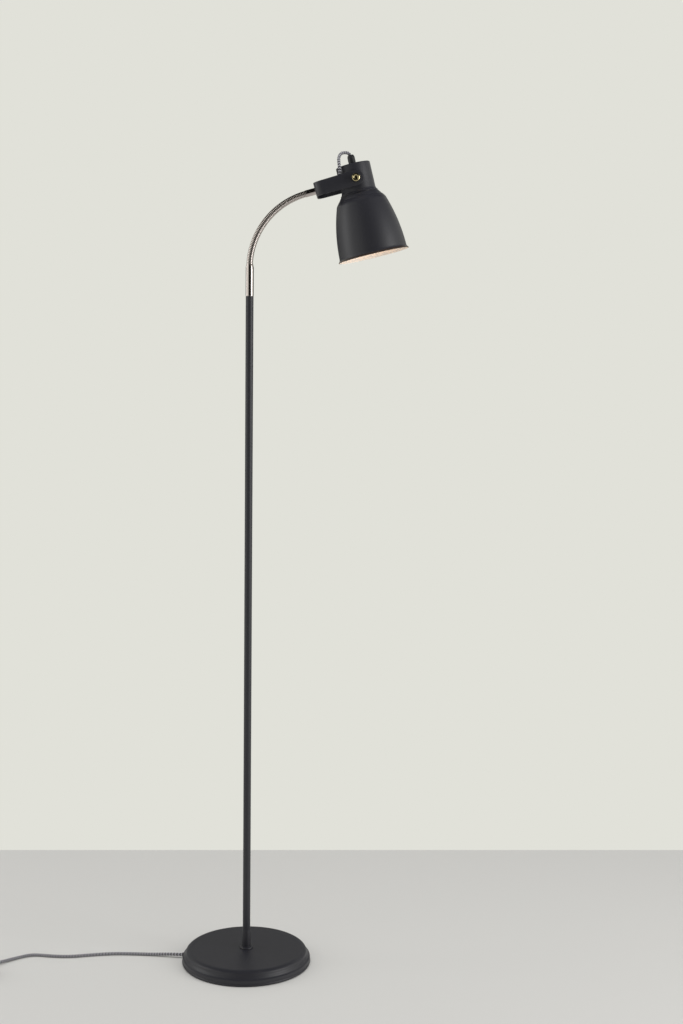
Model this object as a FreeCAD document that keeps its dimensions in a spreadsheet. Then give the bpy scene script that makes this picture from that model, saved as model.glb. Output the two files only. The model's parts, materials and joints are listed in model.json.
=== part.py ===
# A gooseneck reading floor lamp: weighted round base, straight pole, short ribbed neck, U-shaped strap
# and a bell shade held by two thumb screws.  Millimetres, +Z up.  The origin is the centre of the floor
# pad's underside, the neck bends in the XZ plane and the shade points towards +X.
import FreeCAD, Part
import math
import os
import Sketcher
from types import SimpleNamespace
from FreeCAD import Placement, Rotation, Vector

doc = FreeCAD.newDocument("gooseneck_floor_lamp")

# ------------------------------------------------------------------------------------ driving sizes

BASE_SIZES = {
    "base_height": 26.5,            # top of the cover above the floor
    "base_wall": 1.0,
    "base_radius": 119.8,
    "base_lip_out": 0.7,            # the rolled lip stands out this far
    "base_lip_bottom": 0.8,
    "base_lip_top": 5.0,
    "base_groove_top": 6.5,
    "base_groove_depth": 0.35,
    "base_toe_width": 0.3,          # from the rim in to the foot of the flare
    "base_flare_width": 6.5,        # the hollow flare, in to the small upright step
    "base_flare_height": 11.5,
    "base_flare_bend": 14.0,
    "base_step_width": 0.2,
    "base_step_drop": 1.25,
    "base_brow_width": 9.3,         # the rounded shoulder, in to the crease of the flat top
    "base_brow_drop": 4.5,
    "pad_inset": 7.8,
    "pad_thickness": 2.0,
    "weight_inset": 11.8,
    "weight_shoulder_width": 7.0,
    "weight_shoulder_drop": 6.4,
    "weight_gap": 0.1,
    "recess_radius": 15.0,          # room for the nut and the bend of the cord
    "recess_roof": 2.9,
    "channel_width": 7.0,
    "channel_clearance": 1.5,
    "exit_turn": 4.5,               # the cord leaves this many degrees off -X, towards +Y
    "exit_height": 6.2,
    "grommet_stand_out": 2.7,
    "grommet_wall": 1.0,
    "grommet_flange_width": 1.0,
    "grommet_flange_length": 3.0,
    "grommet_seat_gap": 0.45,
    "stud_hole_gap": 0.3,
}

POLE_SIZES = {
    "pole_radius": 7.0,
    "pole_wall": 1.2,
    "pole_section_length": 404.17,
    "bush_length": 15.0,
    "joint_stud_reach": 13.0,       # how far a joining stud screws into each side
    "collar_width": 5.5,
    "collar_height": 4.0,
    "collar_chamfer": 2.0,
    "sleeve_foot_wall": 1.2,
    "sleeve_top_wall": 0.5,
    "sleeve_height": 32.0,
    "stud_radius": 4.0,
    "stud_bore_gap": 0.15,
    "stud_nut_reach": 0.8,          # the base stud ends this far below its nut
    "stud_top_gap": 1.5,            # the base stud stops this far below the top of its bush
    "nut_flat_radius": 7.5,
    "nut_height": 4.7,
    "washer_radius": 11.0,
    "washer_thickness": 1.5,
    "ferrule_step": 0.1,
    "ferrule_lip_wall": 0.5,
    "ferrule_taper_length": 5.0,
    "ferrule_length": 57.0,
}

NECK_SIZES = {
    "neck_low_bend": 95.0,          # the neck starts on a tighter arc
    "neck_low_turn": 10.0,
    "neck_high_bend": 138.0,
    "neck_high_turn": 64.0,
    "hose_crest_radius": 5.75,
    "hose_rib_height": 0.6,
    "hose_bore_radius": 3.6,
    "joint_half_gap": 0.75,         # each link stops this far short of its joint's middle
    "lower_socket_ribs": 3,
    "upper_socket_ribs": 2,
    "socket_end_gap": 0.15,
    "upper_ferrule_wall": 0.45,
    "upper_ferrule_length": 18.0,
    "neck_bolt_grip": 10.0,
    "neck_bolt_stand_out": 1.5,
    "neck_nut_height": 4.0,
    "cord_bush_wall": 1.75,
    "cord_bush_length": 2.5,
    "cord_radius": 2.8,
    "neck_cord_start": 15.0,        # the pole's cord reaches this far below the top of the ferrule
}

STRAP_SIZES = {
    "strap_thickness": 2.0,
    "strap_side_gap": 1.0,          # between each arm and the cap
    "strap_corner_radius": 14.0,
    "strap_reach": 75.5,            # outer face of the bend to the pivot
    "strap_bend_half_width": 12.25,
    "strap_end_radius": 13.5,
    "screw_radius": 2.5,
    "screw_end_reach": 1.0,         # the screw ends this far inside its nut
    "screw_hub_radius": 5.5,
    "screw_hub_length": 1.2,
    "screw_seat_gap": 0.3,
    "knob_radius": 7.1,
    "knob_length": 8.0,
    "knob_chamfer": 0.6,
    "knob_dish_radius": 5.2,
    "knob_dish_depth": 0.4,
    "knurl_count": 30,
    "knurl_depth": 0.45,
    "knurl_overcut": 0.71,
    "knurl_half_width": 1.0,        # of the groove's cutter at the end of its overcut
    "pivot_washer_radius": 8.0,
    "pivot_washer_gap": 0.05,
    "pivot_nut_radius": 5.5,
    "pivot_nut_height": 5.2,
}

HEAD_SIZES = {
    "head_tilt": 14.0,              # the top of the head leans this far towards -X
    "pivot_depth": 26.8,
    "cap_radius": 30.9,
    "cap_wall": 1.2,
    "cap_edge_bend": 1.8,
    "cap_inner_bend": 0.8,
    "cap_depth": 51.7,
    "cap_flare_drop": 7.2,
    "cap_flare_width": 3.0,
    "shade_wall": 1.0,
    "shade_seat_gap": 0.05,
    "shade_collar_gap": 0.2,
    "shade_collar_height": 5.6,
    "shade_collar_rise": 1.1,       # the collar's foot lies this far above the cap's foot
    "shade_shelf_inset": 1.5,
    "shade_crease_width": 5.6,
    "shade_crease_drop": 7.65,
    "shade_shoulder_width": 4.7,
    "shade_shoulder_drop": 6.1,
    "shade_shoulder_bend": 14.5,
    "shade_turn_width": 1.8,
    "shade_turn_drop": 4.5,
    "shade_bell_width": 15.3,       # the bell widens by this much down to its lip
    "shade_bell_bend": 306.0,
    "shade_lip_height": 8.0,
    "shade_lip_width": 3.1,
    "shade_lip_bend": 9.0,
    "rim_bead": 1.0,
    "head_depth": 164.5,
    "grip_radius": 6.6,
    "grip_neck_radius": 6.0,
    "grip_neck_height": 2.0,
    "grip_shoulder_height": 3.5,
    "grip_edge_drop": 3.5,
    "grip_top_radius": 5.0,
    "grip_height": 17.5,
    "grip_mouth_radius": 4.3,
    "grip_mouth_depth": 4.0,
    "grip_thread_depth": 8.2,
    "grip_cord_depth": 7.5,         # the loop's cord goes this far into the grip
}

HOLDER_SIZES = {
    "nipple_radius": 5.0,
    "nipple_bore_gap": 0.8,
    "nipple_above": 8.0,
    "nipple_below": 12.0,
    "nipple_nut_radius": 8.1,
    "nipple_nut_height": 3.0,
    "dome_neck_radius": 8.0,
    "dome_neck_top": 4.5,
    "dome_neck_foot": 10.0,
    "dome_shoulder": 18.0,
    "dome_roof": 1.5,
    "dome_corner_drop": 1.05,
    "holder_radius": 19.5,
    "holder_wall": 1.5,
    "dome_depth": 30.0,
    "holder_depth": 62.0,
    "disc_thickness": 3.0,
    "disc_gap": 0.2,
    "tongue_radius": 3.0,
    "tongue_height": 1.0,
    "bulb_seat_gap": 0.1,
    "bulb_tip_radius": 4.5,
    "bulb_tip_height": 1.7,
    "bulb_thread_start": 4.0,
    "bulb_thread_radius": 13.2,
    "shell_gap": 0.15,
    "shell_wall": 0.75,
    "shell_short": 2.0,             # the brass shell ends this far above the skirt's foot
    "bulb_neck_inset": 0.3,
    "bulb_waist_radius": 14.5,
    "globe_radius": 22.5,
    "globe_drop": 31.5,             # centre of the globe below the holder's foot
    "globe_wall": 0.9,
}

LEAD_SIZES = {
    "coil_centre_x": -554.0,
    "coil_centre_y": -119.0,
    "coil_start_radius": 43.2,
    "coil_turn_gap": 0.6,
    "coil_layer_gap": 0.6,
    "coil_floor_gap": 1.6,
    "coil_inward_turns": 3.25,
    "coil_outward_turns": 3.5,
    "coil_lead_in": 6.0,
    "coil_lead_out": 6.0,
    "coil_descent_length": 25.0,
    "tie_width": 8.0,
    "tie_thickness": 0.8,
    "tie_gap": 1.4,
    "tie_under_gap": 0.4,
    "switch_length": 56.0,
    "switch_width": 30.0,
    "switch_corner": 9.0,
    "switch_wall": 2.0,
    "switch_base_height": 8.0,
    "switch_height": 20.0,
    "button_radius": 8.0,
    "button_stand_out": 3.4,
    "button_skirt": 1.6,
    "button_flange_radius": 9.5,
    "button_gap": 0.1,
    "plug_tail_length": 22.0,
    "plug_tail_radius": 4.2,
    "plug_tail_foot_radius": 5.5,
    "plug_length": 36.0,
    "plug_half_width": 16.0,
    "plug_neck_half_width": 9.0,
    "plug_neck_length": 16.0,
    "plug_thickness": 13.7,
    "plug_floor_gap": 0.15,
    "plug_fillet": 2.5,
    "pin_radius": 2.0,
    "pin_length": 19.0,
    "pin_spacing": 18.6,
}

# Counts that a size change never makes fractional.
POLE_SECTIONS = 3
NECK_LINKS = 10
RIBS_PER_LINK = 6
COIL_STEPS_PER_TURN = 4

# A fine clearance between pieces that slide or screw into each other.
FIT = 0.05

# A cutting tool, or a blank that is cut to shape, is this many times as long as the cut.
OVERCUT = 1.5


def fill_sheet(groups):
    """Writes every driving size to the sheet and returns the sheet."""
    sheet = doc.addObject("Spreadsheet::Sheet", "Sizes")
    row = 1
    for group in groups:
        for name, number in group.items():
            sheet.set(f"A{row}", name)
            sheet.set(f"B{row}", str(number))
            sheet.setAlias(f"B{row}", name)
            row += 1
    doc.recompute()
    return sheet


class Size:
    """A size's number together with the sheet expression that gives it."""

    def __init__(self, value, text):
        self.value = value
        self.text = text

    def __add__(self, other):
        other = as_size(other)
        return Size(self.value + other.value, f"({self.text} + {other.text})")

    def __sub__(self, other):
        other = as_size(other)
        return Size(self.value - other.value, f"({self.text} - {other.text})")

    def __mul__(self, other):
        other = as_size(other)
        return Size(self.value * other.value, f"({self.text} * {other.text})")

    def __truediv__(self, other):
        other = as_size(other)
        return Size(self.value / other.value, f"({self.text} / {other.text})")

    def __neg__(self):
        return Size(-self.value, f"(0 - {self.text})")

    def root(self):
        return Size(math.sqrt(self.value), f"sqrt({self.text})")


def as_size(number):
    return number if isinstance(number, Size) else Size(number, str(number))


sheet = fill_sheet([
    {"fit": FIT}, BASE_SIZES, POLE_SIZES, NECK_SIZES, STRAP_SIZES, HEAD_SIZES, HOLDER_SIZES, LEAD_SIZES])
ALIASES = ["fit", *BASE_SIZES, *POLE_SIZES, *NECK_SIZES, *STRAP_SIZES, *HEAD_SIZES, *HOLDER_SIZES,
           *LEAD_SIZES]
d = SimpleNamespace(**{name: Size(float(sheet.get(name)), f"Sizes.{name}") for name in ALIASES})

# --------------------------------------------------------------------------------- shape helpers

LEFT = 1
RIGHT = -1
WORLD = Placement()
subparts = {}


def bind(thing, **sizes):
    """Sets each property of a feature from a size and ties it to the sheet."""
    for name, size in sizes.items():
        size = as_size(size)
        setattr(thing, name, size.value)
        thing.setExpression(name, size.text)


def keep(thing, label, place=WORLD):
    """Names a finished sub-part and puts it in its place."""
    thing.Label = label
    thing.Placement = place
    subparts[label] = thing
    return thing


def arc_between(start, end, radius, turn):
    """The short arc from start to end that turns left or right as it goes."""
    middle = (start + end) * 0.5
    chord = end - start
    across = Vector(-chord.y, chord.x, 0) * turn
    across.normalize()
    centre = middle + across * math.sqrt(radius ** 2 - chord.Length ** 2 / 4)
    first, last = (start, end) if turn == LEFT else (end, start)
    angles = [math.atan2(point.y - centre.y, point.x - centre.x) for point in (first, last)]
    if angles[1] < angles[0]:
        angles[1] += 2 * math.pi
    return Part.ArcOfCircle(Part.Circle(centre, Vector(0, 0, 1), radius), angles[0], angles[1])


def outline_sketch(body, name, plane, outline):
    """A closed outline of corners (across, up) or (across, up, radius, turn) where an arc leads there."""
    sketch = body.newObject("Sketcher::SketchObject", name)
    planes = {feature.Role: feature for feature in body.Origin.OriginFeatures}
    sketch.AttachmentSupport = (planes[plane], [""])
    sketch.MapMode = "FlatFace"
    corners = [(as_size(corner[0]), as_size(corner[1])) for corner in outline]
    points = [Vector(across.value, up.value, 0) for across, up in corners]
    ties = []
    ends = []
    for index, start in enumerate(points):
        following = (index + 1) % len(points)
        if len(outline[following]) == 4:
            radius, turn = outline[following][2:]
            sketch.addGeometry(arc_between(start, points[following], as_size(radius).value, turn))
            ends.append((1, 2) if turn == LEFT else (2, 1))
            ties.append((Sketcher.Constraint("Radius", index, as_size(radius).value), as_size(radius).text))
        else:
            sketch.addGeometry(Part.LineSegment(start, points[following]))
            ends.append((1, 2))
    for index, (across, up) in enumerate(corners):
        following = (index + 1) % len(points)
        ties.append((Sketcher.Constraint("Coincident", index, ends[index][1], following,
                                         ends[following][0]), None))
        ties.append(axis_tie("DistanceX", index, ends[index][0], across))
        ties.append(axis_tie("DistanceY", index, ends[index][0], up))
    for constraint, text in ties:
        number = sketch.addConstraint(constraint)
        if text is not None:
            sketch.setExpression(f"Constraints[{number}]", text)
    return sketch


def axis_tie(kind, edge, end, size):
    """Ties one corner's distance from an axis; a corner on the axis lies on it."""
    if size.value == 0:
        axis = -2 if kind == "DistanceX" else -1
        return Sketcher.Constraint("PointOnObject", edge, end, axis), None
    if size.value < 0:
        return Sketcher.Constraint(kind, edge, end, -1, 1, -size.value), f"(0 - {size.text})"
    return Sketcher.Constraint(kind, -1, 1, edge, end, size.value), size.text


def turned(label, outline, place=WORLD):
    """A piece turned about its own upright axis."""
    body = doc.addObject("PartDesign::Body", label)
    turn = body.newObject("PartDesign::Revolution", f"{label}_turn")
    turn.Profile = outline_sketch(body, f"{label}_outline", "XZ_Plane", outline)
    turn.ReferenceAxis = (turn.Profile[0], ["V_Axis"])
    turn.Angle = 360
    body.Tip = turn
    return keep(body, label, place)


def ring(label, outer, inner, bottom, top, place=WORLD):
    """A plain turned ring or tube."""
    return turned(label, [(inner, bottom), (outer, bottom), (outer, top), (inner, top)], place)


def padded(label, plane, outline, thickness):
    """A flat outline given a thickness, half of it on each side of its plane."""
    body = doc.addObject("PartDesign::Body", label)
    pad = body.newObject("PartDesign::Pad", f"{label}_pad")
    pad.Profile = outline_sketch(body, f"{label}_outline", plane, outline)
    pad.Midplane = True
    bind(pad, Length=thickness)
    body.Tip = pad
    return body


def cylinder(name, radius, height, place=WORLD):
    tool = doc.addObject("Part::Cylinder", name)
    bind(tool, Radius=radius, Height=height)
    tool.Placement = place
    return tool


def box(name, length, width, height, place=WORLD):
    """A box centred across its width and standing on its own ground."""
    tool = doc.addObject("Part::Box", name)
    bind(tool, Length=length, Width=width, Height=height)
    tool.Placement = place * Placement(Vector(0, -as_size(width).value / 2, 0), Rotation())
    return tool


def cut(name, base, *tools):
    """The base less its tools, in the base's own frame."""
    for number, tool in enumerate(tools):
        result = doc.addObject("Part::Cut", f"{name}_{number}")
        result.Base = base
        result.Tool = tool
        base = result
    return base


def joined(name, *pieces):
    result = doc.addObject("Part::MultiFuse", name)
    result.Shapes = list(pieces)
    return result


def compound(name, *pieces):
    result = doc.addObject("Part::Compound", name)
    result.Links = list(pieces)
    return result


def hexagon_nut(name, circle_radius, bore_radius, bottom, height, place=WORLD):
    """A six-sided nut with its bore; circle_radius goes round its corners."""
    blank = doc.addObject("Part::Prism", f"{name}_blank")
    blank.Polygon = 6
    bind(blank, Circumradius=circle_radius, Height=height)
    nut = cut(f"{name}_cut", blank, cylinder(f"{name}_bore", bore_radius, height))
    return keep(nut, name, place * lifted(bottom))


def lifted(height):
    return Placement(Vector(0, 0, as_size(height).value), Rotation())


def turned_about_y(degrees):
    return Placement(Vector(), Rotation(Vector(0, 1, 0), degrees))


def formed(label, shape, place=WORLD):
    """A sub-part whose shape is worked out in code, in its own frame."""
    piece = doc.addObject("Part::Feature", label)
    piece.Shape = shape
    return keep(piece, label, place)


# -------------------------------------------------------------------------------------- the base

cover_top = d.base_height
cover_under = d.base_height - d.base_wall
flare_radius = d.base_radius - d.base_toe_width
step_radius = flare_radius - d.base_flare_width
brow_radius = step_radius - d.base_step_width
top_radius = brow_radius - d.base_brow_width
weight_radius = d.base_radius - d.weight_inset
weight_top = cover_under - d.weight_gap
recess_top = weight_top - d.recess_roof
stud_hole = d.stud_radius + d.stud_hole_gap
stud_bore = d.cord_radius + d.stud_bore_gap
washer_bottom = recess_top - d.washer_thickness
nut_bottom = washer_bottom - d.nut_height
stud_bottom = nut_bottom - d.stud_nut_reach
grommet_radius = d.cord_radius + d.grommet_wall
grommet_end = d.base_radius + d.grommet_stand_out
exit_rotation = Rotation(Vector(0, 0, 1), 180 - d.exit_turn.value)
exit_axis = Placement(Vector(0, 0, d.exit_height.value),
                      exit_rotation.multiply(Rotation(Vector(0, 1, 0), 90)))

# The inner face of the sloping flare starts and ends a little lower than the outer one, by these
# shares of the wall.
FLARE_FOOT_DROP = 0.3
FLARE_HEAD_DROP = 0.4


def make_base_cover():
    brow_bend = ((d.base_brow_width * d.base_brow_width + d.base_brow_drop * d.base_brow_drop)
                 / (d.base_brow_drop * 2))
    inner_bend = brow_bend - d.base_wall
    shrink = inner_bend / brow_bend
    step_height = cover_top - d.base_brow_drop - d.base_step_drop
    groove_radius = d.base_radius - d.base_groove_depth
    lip_height = d.base_lip_top - d.base_lip_bottom
    lip_out = d.base_lip_out + d.base_groove_depth
    lip_bend = (lip_height * lip_height / 4 + lip_out * lip_out) / (lip_out * 2)
    blank = turned("base_cover_blank", [
        (stud_hole, cover_top),
        (top_radius, cover_top),
        (brow_radius, cover_top - d.base_brow_drop, brow_bend, RIGHT),
        (step_radius, step_height),
        (flare_radius, d.base_flare_height, d.base_flare_bend, LEFT),
        (d.base_radius, d.base_groove_top),
        (groove_radius, d.base_groove_top),
        (groove_radius, d.base_lip_top),
        (groove_radius, d.base_lip_bottom, lip_bend, RIGHT),
        (d.base_radius - d.base_wall, d.base_lip_bottom),
        (d.base_radius - d.base_wall, d.base_groove_top),
        (flare_radius - d.base_wall, d.base_flare_height - d.base_wall * FLARE_FOOT_DROP),
        (step_radius - d.base_wall, step_height - d.base_wall * FLARE_HEAD_DROP,
         d.base_flare_bend + d.base_wall, RIGHT),
        (top_radius + d.base_brow_width * shrink, cover_under - d.base_brow_drop * shrink),
        (top_radius, cover_under, inner_bend, LEFT),
        (stud_hole, cover_under),
    ])
    subparts.pop("base_cover_blank")
    hole = cylinder("cord_hole", grommet_radius + d.fit, grommet_end - weight_radius,
                    exit_axis * lifted(weight_radius))
    keep(cut("base_cover", blank, hole), "base_cover")


def make_base_weight():
    blank = turned("base_weight_blank", [
        (stud_hole, recess_top),
        (d.recess_radius, recess_top),
        (d.recess_radius, d.pad_thickness),
        (weight_radius, d.pad_thickness),
        (weight_radius, weight_top - d.weight_shoulder_drop),
        (weight_radius - d.weight_shoulder_width, weight_top),
        (stud_hole, weight_top),
    ])
    subparts.pop("base_weight_blank")
    channel_top = d.exit_height + d.cord_radius + d.channel_clearance
    channel = box("cord_channel", weight_radius * OVERCUT, d.channel_width, channel_top,
                  Placement(Vector(), exit_rotation))
    keep(cut("base_weight", blank, channel), "base_weight")


def make_base_fittings():
    keep(cylinder("base_pad", d.base_radius - d.pad_inset, d.pad_thickness), "base_pad")
    bush_top = pole_bottom + d.bush_length
    ring("base_stud", d.stud_radius, stud_bore, stud_bottom, bush_top - d.stud_top_gap)
    ring("base_washer", d.washer_radius, stud_hole, washer_bottom, recess_top)
    hexagon_nut("base_nut", d.nut_flat_radius, d.stud_radius + d.fit, nut_bottom, d.nut_height)
    seat = d.base_radius - d.base_wall - d.grommet_seat_gap
    flange_radius = grommet_radius + d.grommet_flange_width
    turned("cord_grommet", [
        (d.cord_radius + d.fit, seat - d.grommet_flange_length),
        (flange_radius, seat - d.grommet_flange_length),
        (flange_radius, seat),
        (grommet_radius, seat),
        (grommet_radius, grommet_end),
        (d.cord_radius + d.fit, grommet_end),
    ], exit_axis)


# --------------------------------------------------------------------------------- foot and pole

pole_bottom = cover_top + d.collar_height
pole_top = pole_bottom + d.pole_section_length * POLE_SECTIONS
neck_bottom = pole_top + d.ferrule_length
rib_pitch = ((d.neck_low_bend * d.neck_low_turn + d.neck_high_bend * d.neck_high_turn)
             * (math.pi / 180) / (NECK_LINKS * RIBS_PER_LINK))


def make_foot():
    collar_radius = d.pole_radius + d.collar_width
    turned("foot_collar", [
        (stud_hole, cover_top),
        (collar_radius, cover_top),
        (collar_radius, pole_bottom - d.collar_chamfer),
        (collar_radius - d.collar_chamfer, pole_bottom),
        (stud_hole, pole_bottom),
    ])
    turned("foot_sleeve", [
        (d.pole_radius + d.fit, pole_bottom),
        (d.pole_radius + d.sleeve_foot_wall, pole_bottom),
        (d.pole_radius + d.sleeve_top_wall, pole_bottom + d.sleeve_height),
        (d.pole_radius + d.fit, pole_bottom + d.sleeve_height),
    ])


def make_pole():
    bore = d.pole_radius - d.pole_wall
    bushes = []
    studs = []
    for section, label in enumerate(("pole_lower", "pole_middle", "pole_upper")):
        bottom = pole_bottom + d.pole_section_length * section
        top = pole_bottom + d.pole_section_length * (section + 1)
        ring(label, d.pole_radius, bore, bottom, top)
        for end, start in (("foot", bottom), ("head", top - d.bush_length)):
            name = f"{label}_{end}_bush"
            bushes.append(ring(name, bore - d.fit, d.stud_radius + d.fit, start, start + d.bush_length))
            subparts.pop(name)
        name = f"{label}_stud"
        studs.append(ring(name, d.stud_radius, stud_bore, top - d.joint_stud_reach,
                          top + d.joint_stud_reach))
        subparts.pop(name)
    keep(compound("pole_bushes", *bushes), "pole_bushes")
    keep(compound("pole_studs", *studs), "pole_studs")


# -------------------------------------------------------------------------------- neck and cords

neck_low_length = (d.neck_low_bend * d.neck_low_turn).value * math.pi / 180
neck_length = rib_pitch.value * NECK_LINKS * RIBS_PER_LINK
link_length = neck_length / NECK_LINKS
neck_turn = d.neck_low_turn.value + d.neck_high_turn.value


def neck_heading(along):
    """The neck's lean from the upright, in degrees, this far along it; straight past both ends."""
    if along <= 0:
        return 0
    if along <= neck_low_length:
        return math.degrees(along / d.neck_low_bend.value)
    bent = min(along, neck_length) - neck_low_length
    return d.neck_low_turn.value + math.degrees(bent / d.neck_high_bend.value)


def arc_step(bend, start_lean, end_lean):
    """How far an arc of this bend goes along X and Z between two leans."""
    start, end = math.radians(start_lean), math.radians(end_lean)
    return Vector(bend * (math.cos(start) - math.cos(end)), 0, bend * (math.sin(end) - math.sin(start)))


def neck_place(along):
    """The neck's frame this far along it: its Z axis runs along the neck."""
    lean = neck_heading(along)
    low_lean = min(lean, d.neck_low_turn.value)
    point = Vector(0, 0, neck_bottom.value) + arc_step(d.neck_low_bend.value, 0, low_lean)
    if lean > low_lean:
        point += arc_step(d.neck_high_bend.value, low_lean, lean)
    heading = Rotation(Vector(0, 1, 0), lean)
    past = min(along, 0) + max(along - neck_length, 0)
    return Placement(point + heading.multVec(Vector(0, 0, past)), heading)


def hoop(radius, place):
    """A circle across the neck's line, always started from the same side."""
    wire = Part.Wire(Part.makeCircle(radius))
    wire.Placement = place
    return wire


# The four circles of one rib: each one's share of the pitch, and whether it is on the crest.
RIB_CIRCLES = ((0.14, False), (0.36, True), (0.64, True), (0.86, False))


def ribbed_link(label, start, end, start_gap, end_gap):
    """One link of the ribbed hose: four circles to a rib, and a smooth bore."""
    pitch = rib_pitch.value
    crest = d.hose_crest_radius.value
    valley = crest - d.hose_rib_height.value
    stations = []
    for rib in range(round((end - start) / pitch)):
        for share, on_crest in RIB_CIRCLES:
            stations.append((start + (rib + share) * pitch, crest if on_crest else valley))
    stations[0] = (start + start_gap, valley)
    stations[-1] = (end - end_gap, valley)
    outside = Part.makeLoft([hoop(radius, neck_place(along)) for along, radius in stations], True, True)
    bore = d.hose_bore_radius.value
    stations[0] = (start + start_gap - d.fit.value, bore)
    stations[-1] = (end - end_gap + d.fit.value, bore)
    inside = Part.makeLoft([hoop(bore, neck_place(along)) for along, radius in stations], True, True)
    formed(label, outside.cut(inside))


def make_neck():
    ferrule_bore = d.hose_crest_radius + d.fit
    socket = rib_pitch * d.lower_socket_ribs + d.socket_end_gap
    thread = d.stud_radius + d.fit
    ferrule_radius = d.pole_radius + d.ferrule_step
    turned("lower_ferrule", [
        (thread, pole_top),
        (ferrule_radius, pole_top),
        (ferrule_radius, neck_bottom - d.ferrule_taper_length),
        (ferrule_bore + d.ferrule_lip_wall, neck_bottom),
        (ferrule_bore, neck_bottom),
        (ferrule_bore, neck_bottom - socket),
        (thread, neck_bottom - socket),
    ])
    lower_end = -rib_pitch.value * round(d.lower_socket_ribs.value)
    upper_end = neck_length + rib_pitch.value * round(d.upper_socket_ribs.value)
    gap = d.joint_half_gap.value
    for link in range(NECK_LINKS + 1):
        first, last = link == 0, link == NECK_LINKS
        start = lower_end if first else (link - 0.5) * link_length
        end = upper_end if last else (link + 0.5) * link_length
        ribbed_link(f"hose_{link:02d}", start, end, 0 if first else gap, 0 if last else gap)
    socket = rib_pitch * d.upper_socket_ribs + d.socket_end_gap
    turned("upper_ferrule", [
        (ferrule_bore, 0),
        (ferrule_bore + d.upper_ferrule_wall, 0),
        (ferrule_bore + d.upper_ferrule_wall, d.upper_ferrule_length),
        (thread, d.upper_ferrule_length),
        (thread, socket),
        (ferrule_bore, socket),
    ], neck_place(neck_length))


# Each rounded corner of a cord's route uses this share of the shorter run beside it.
ARC_SHARE = 0.45


def rounded_route(name, points):
    """Straight runs joined by tangent arcs as large as their two runs allow."""
    edges = []
    radii = []
    start = points[0]
    for before, corner, after in zip(points, points[1:], points[2:]):
        back = (before - corner).normalize()
        ahead = (after - corner).normalize()
        half_turn = (math.pi - back.getAngle(ahead)) / 2
        reach = ARC_SHARE * min((before - corner).Length, (after - corner).Length)
        radii.append(reach / math.tan(half_turn))
        arc_start = corner + back * reach
        arc_end = corner + ahead * reach
        middle = corner + (back + ahead).normalize() * radii[-1] * (1 / math.cos(half_turn) - 1)
        edges.append(Part.LineSegment(start, arc_start).toShape())
        edges.append(Part.Arc(arc_start, middle, arc_end).toShape())
        start = arc_end
    edges.append(Part.LineSegment(start, points[-1]).toShape())
    print(name, "arc radii", [round(radius, 1) for radius in radii])
    return edges


def cord_tube(label, edges, direction):
    """A round cord along its edges, starting in this direction."""
    path = Part.Wire(edges)
    start = path.OrderedVertexes[0].Point
    profile = Part.Wire(Part.makeCircle(d.cord_radius.value, start, direction))
    shape = path.makePipeShell([profile], True, False)
    section = math.pi * d.cord_radius.value ** 2
    print(label, "length", round(path.Length, 1), "volume", round(shape.Volume, 1),
          "section times length", round(section * path.Length, 1))
    formed(label, shape)
    return path


def make_stand_cord():
    """The cord from the grommet through the base and up the pole."""
    bend = (stud_bottom - d.exit_height - d.fit * 2).value
    low = d.exit_height.value
    inward = exit_rotation.multVec(Vector(1, 0, 0))
    outer = inward * grommet_end.value + Vector(0, 0, low)
    foot = inward * bend + Vector(0, 0, low)
    side = math.sqrt(0.5)
    middle = inward * bend * (1 - side) + Vector(0, 0, low + bend * (1 - side))
    top = Vector(0, 0, low + bend)
    end = Vector(0, 0, neck_bottom.value - d.neck_cord_start.value)
    cord_tube("inner_cord", [
        Part.LineSegment(outer, foot).toShape(),
        Part.Arc(foot, middle, top).toShape(),
        Part.LineSegment(top, end).toShape(),
    ], inward)


def make_neck_cord():
    """The cord inside the neck, from the ferrule to the bush in the strap."""
    def arc(start, end):
        stops = [neck_place(along).Base for along in (start, (start + end) / 2, end)]
        return Part.Arc(*stops).toShape()

    bottom = neck_place(-d.neck_cord_start.value).Base
    foot = neck_place(0).Base
    top = neck_place(neck_length).Base
    cord_tube("neck_cord", [
        Part.LineSegment(bottom, foot).toShape(),
        arc(0, neck_low_length),
        arc(neck_low_length, neck_length),
        Part.LineSegment(top, strap_place.multVec(Vector(bush_end.value, 0, 0))).toShape(),
    ], Vector(0, 0, 1))


# --------------------------------------------------------------------------------------- strap

strap_face = neck_place(neck_length + d.upper_ferrule_length.value)
strap_place = strap_face * turned_about_y(-90)
pivot = strap_place.multVec(Vector(d.strap_reach.value, 0, 0))
bolt_end = d.strap_thickness + d.neck_nut_height + d.neck_bolt_stand_out
bush_end = bolt_end + d.cord_bush_length
cap_inner = d.cap_radius - d.cap_wall
nut_inner = cap_inner - d.pivot_nut_height
arm_inner = d.cap_radius + d.strap_side_gap
arm_outer = arm_inner + d.strap_thickness


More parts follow.
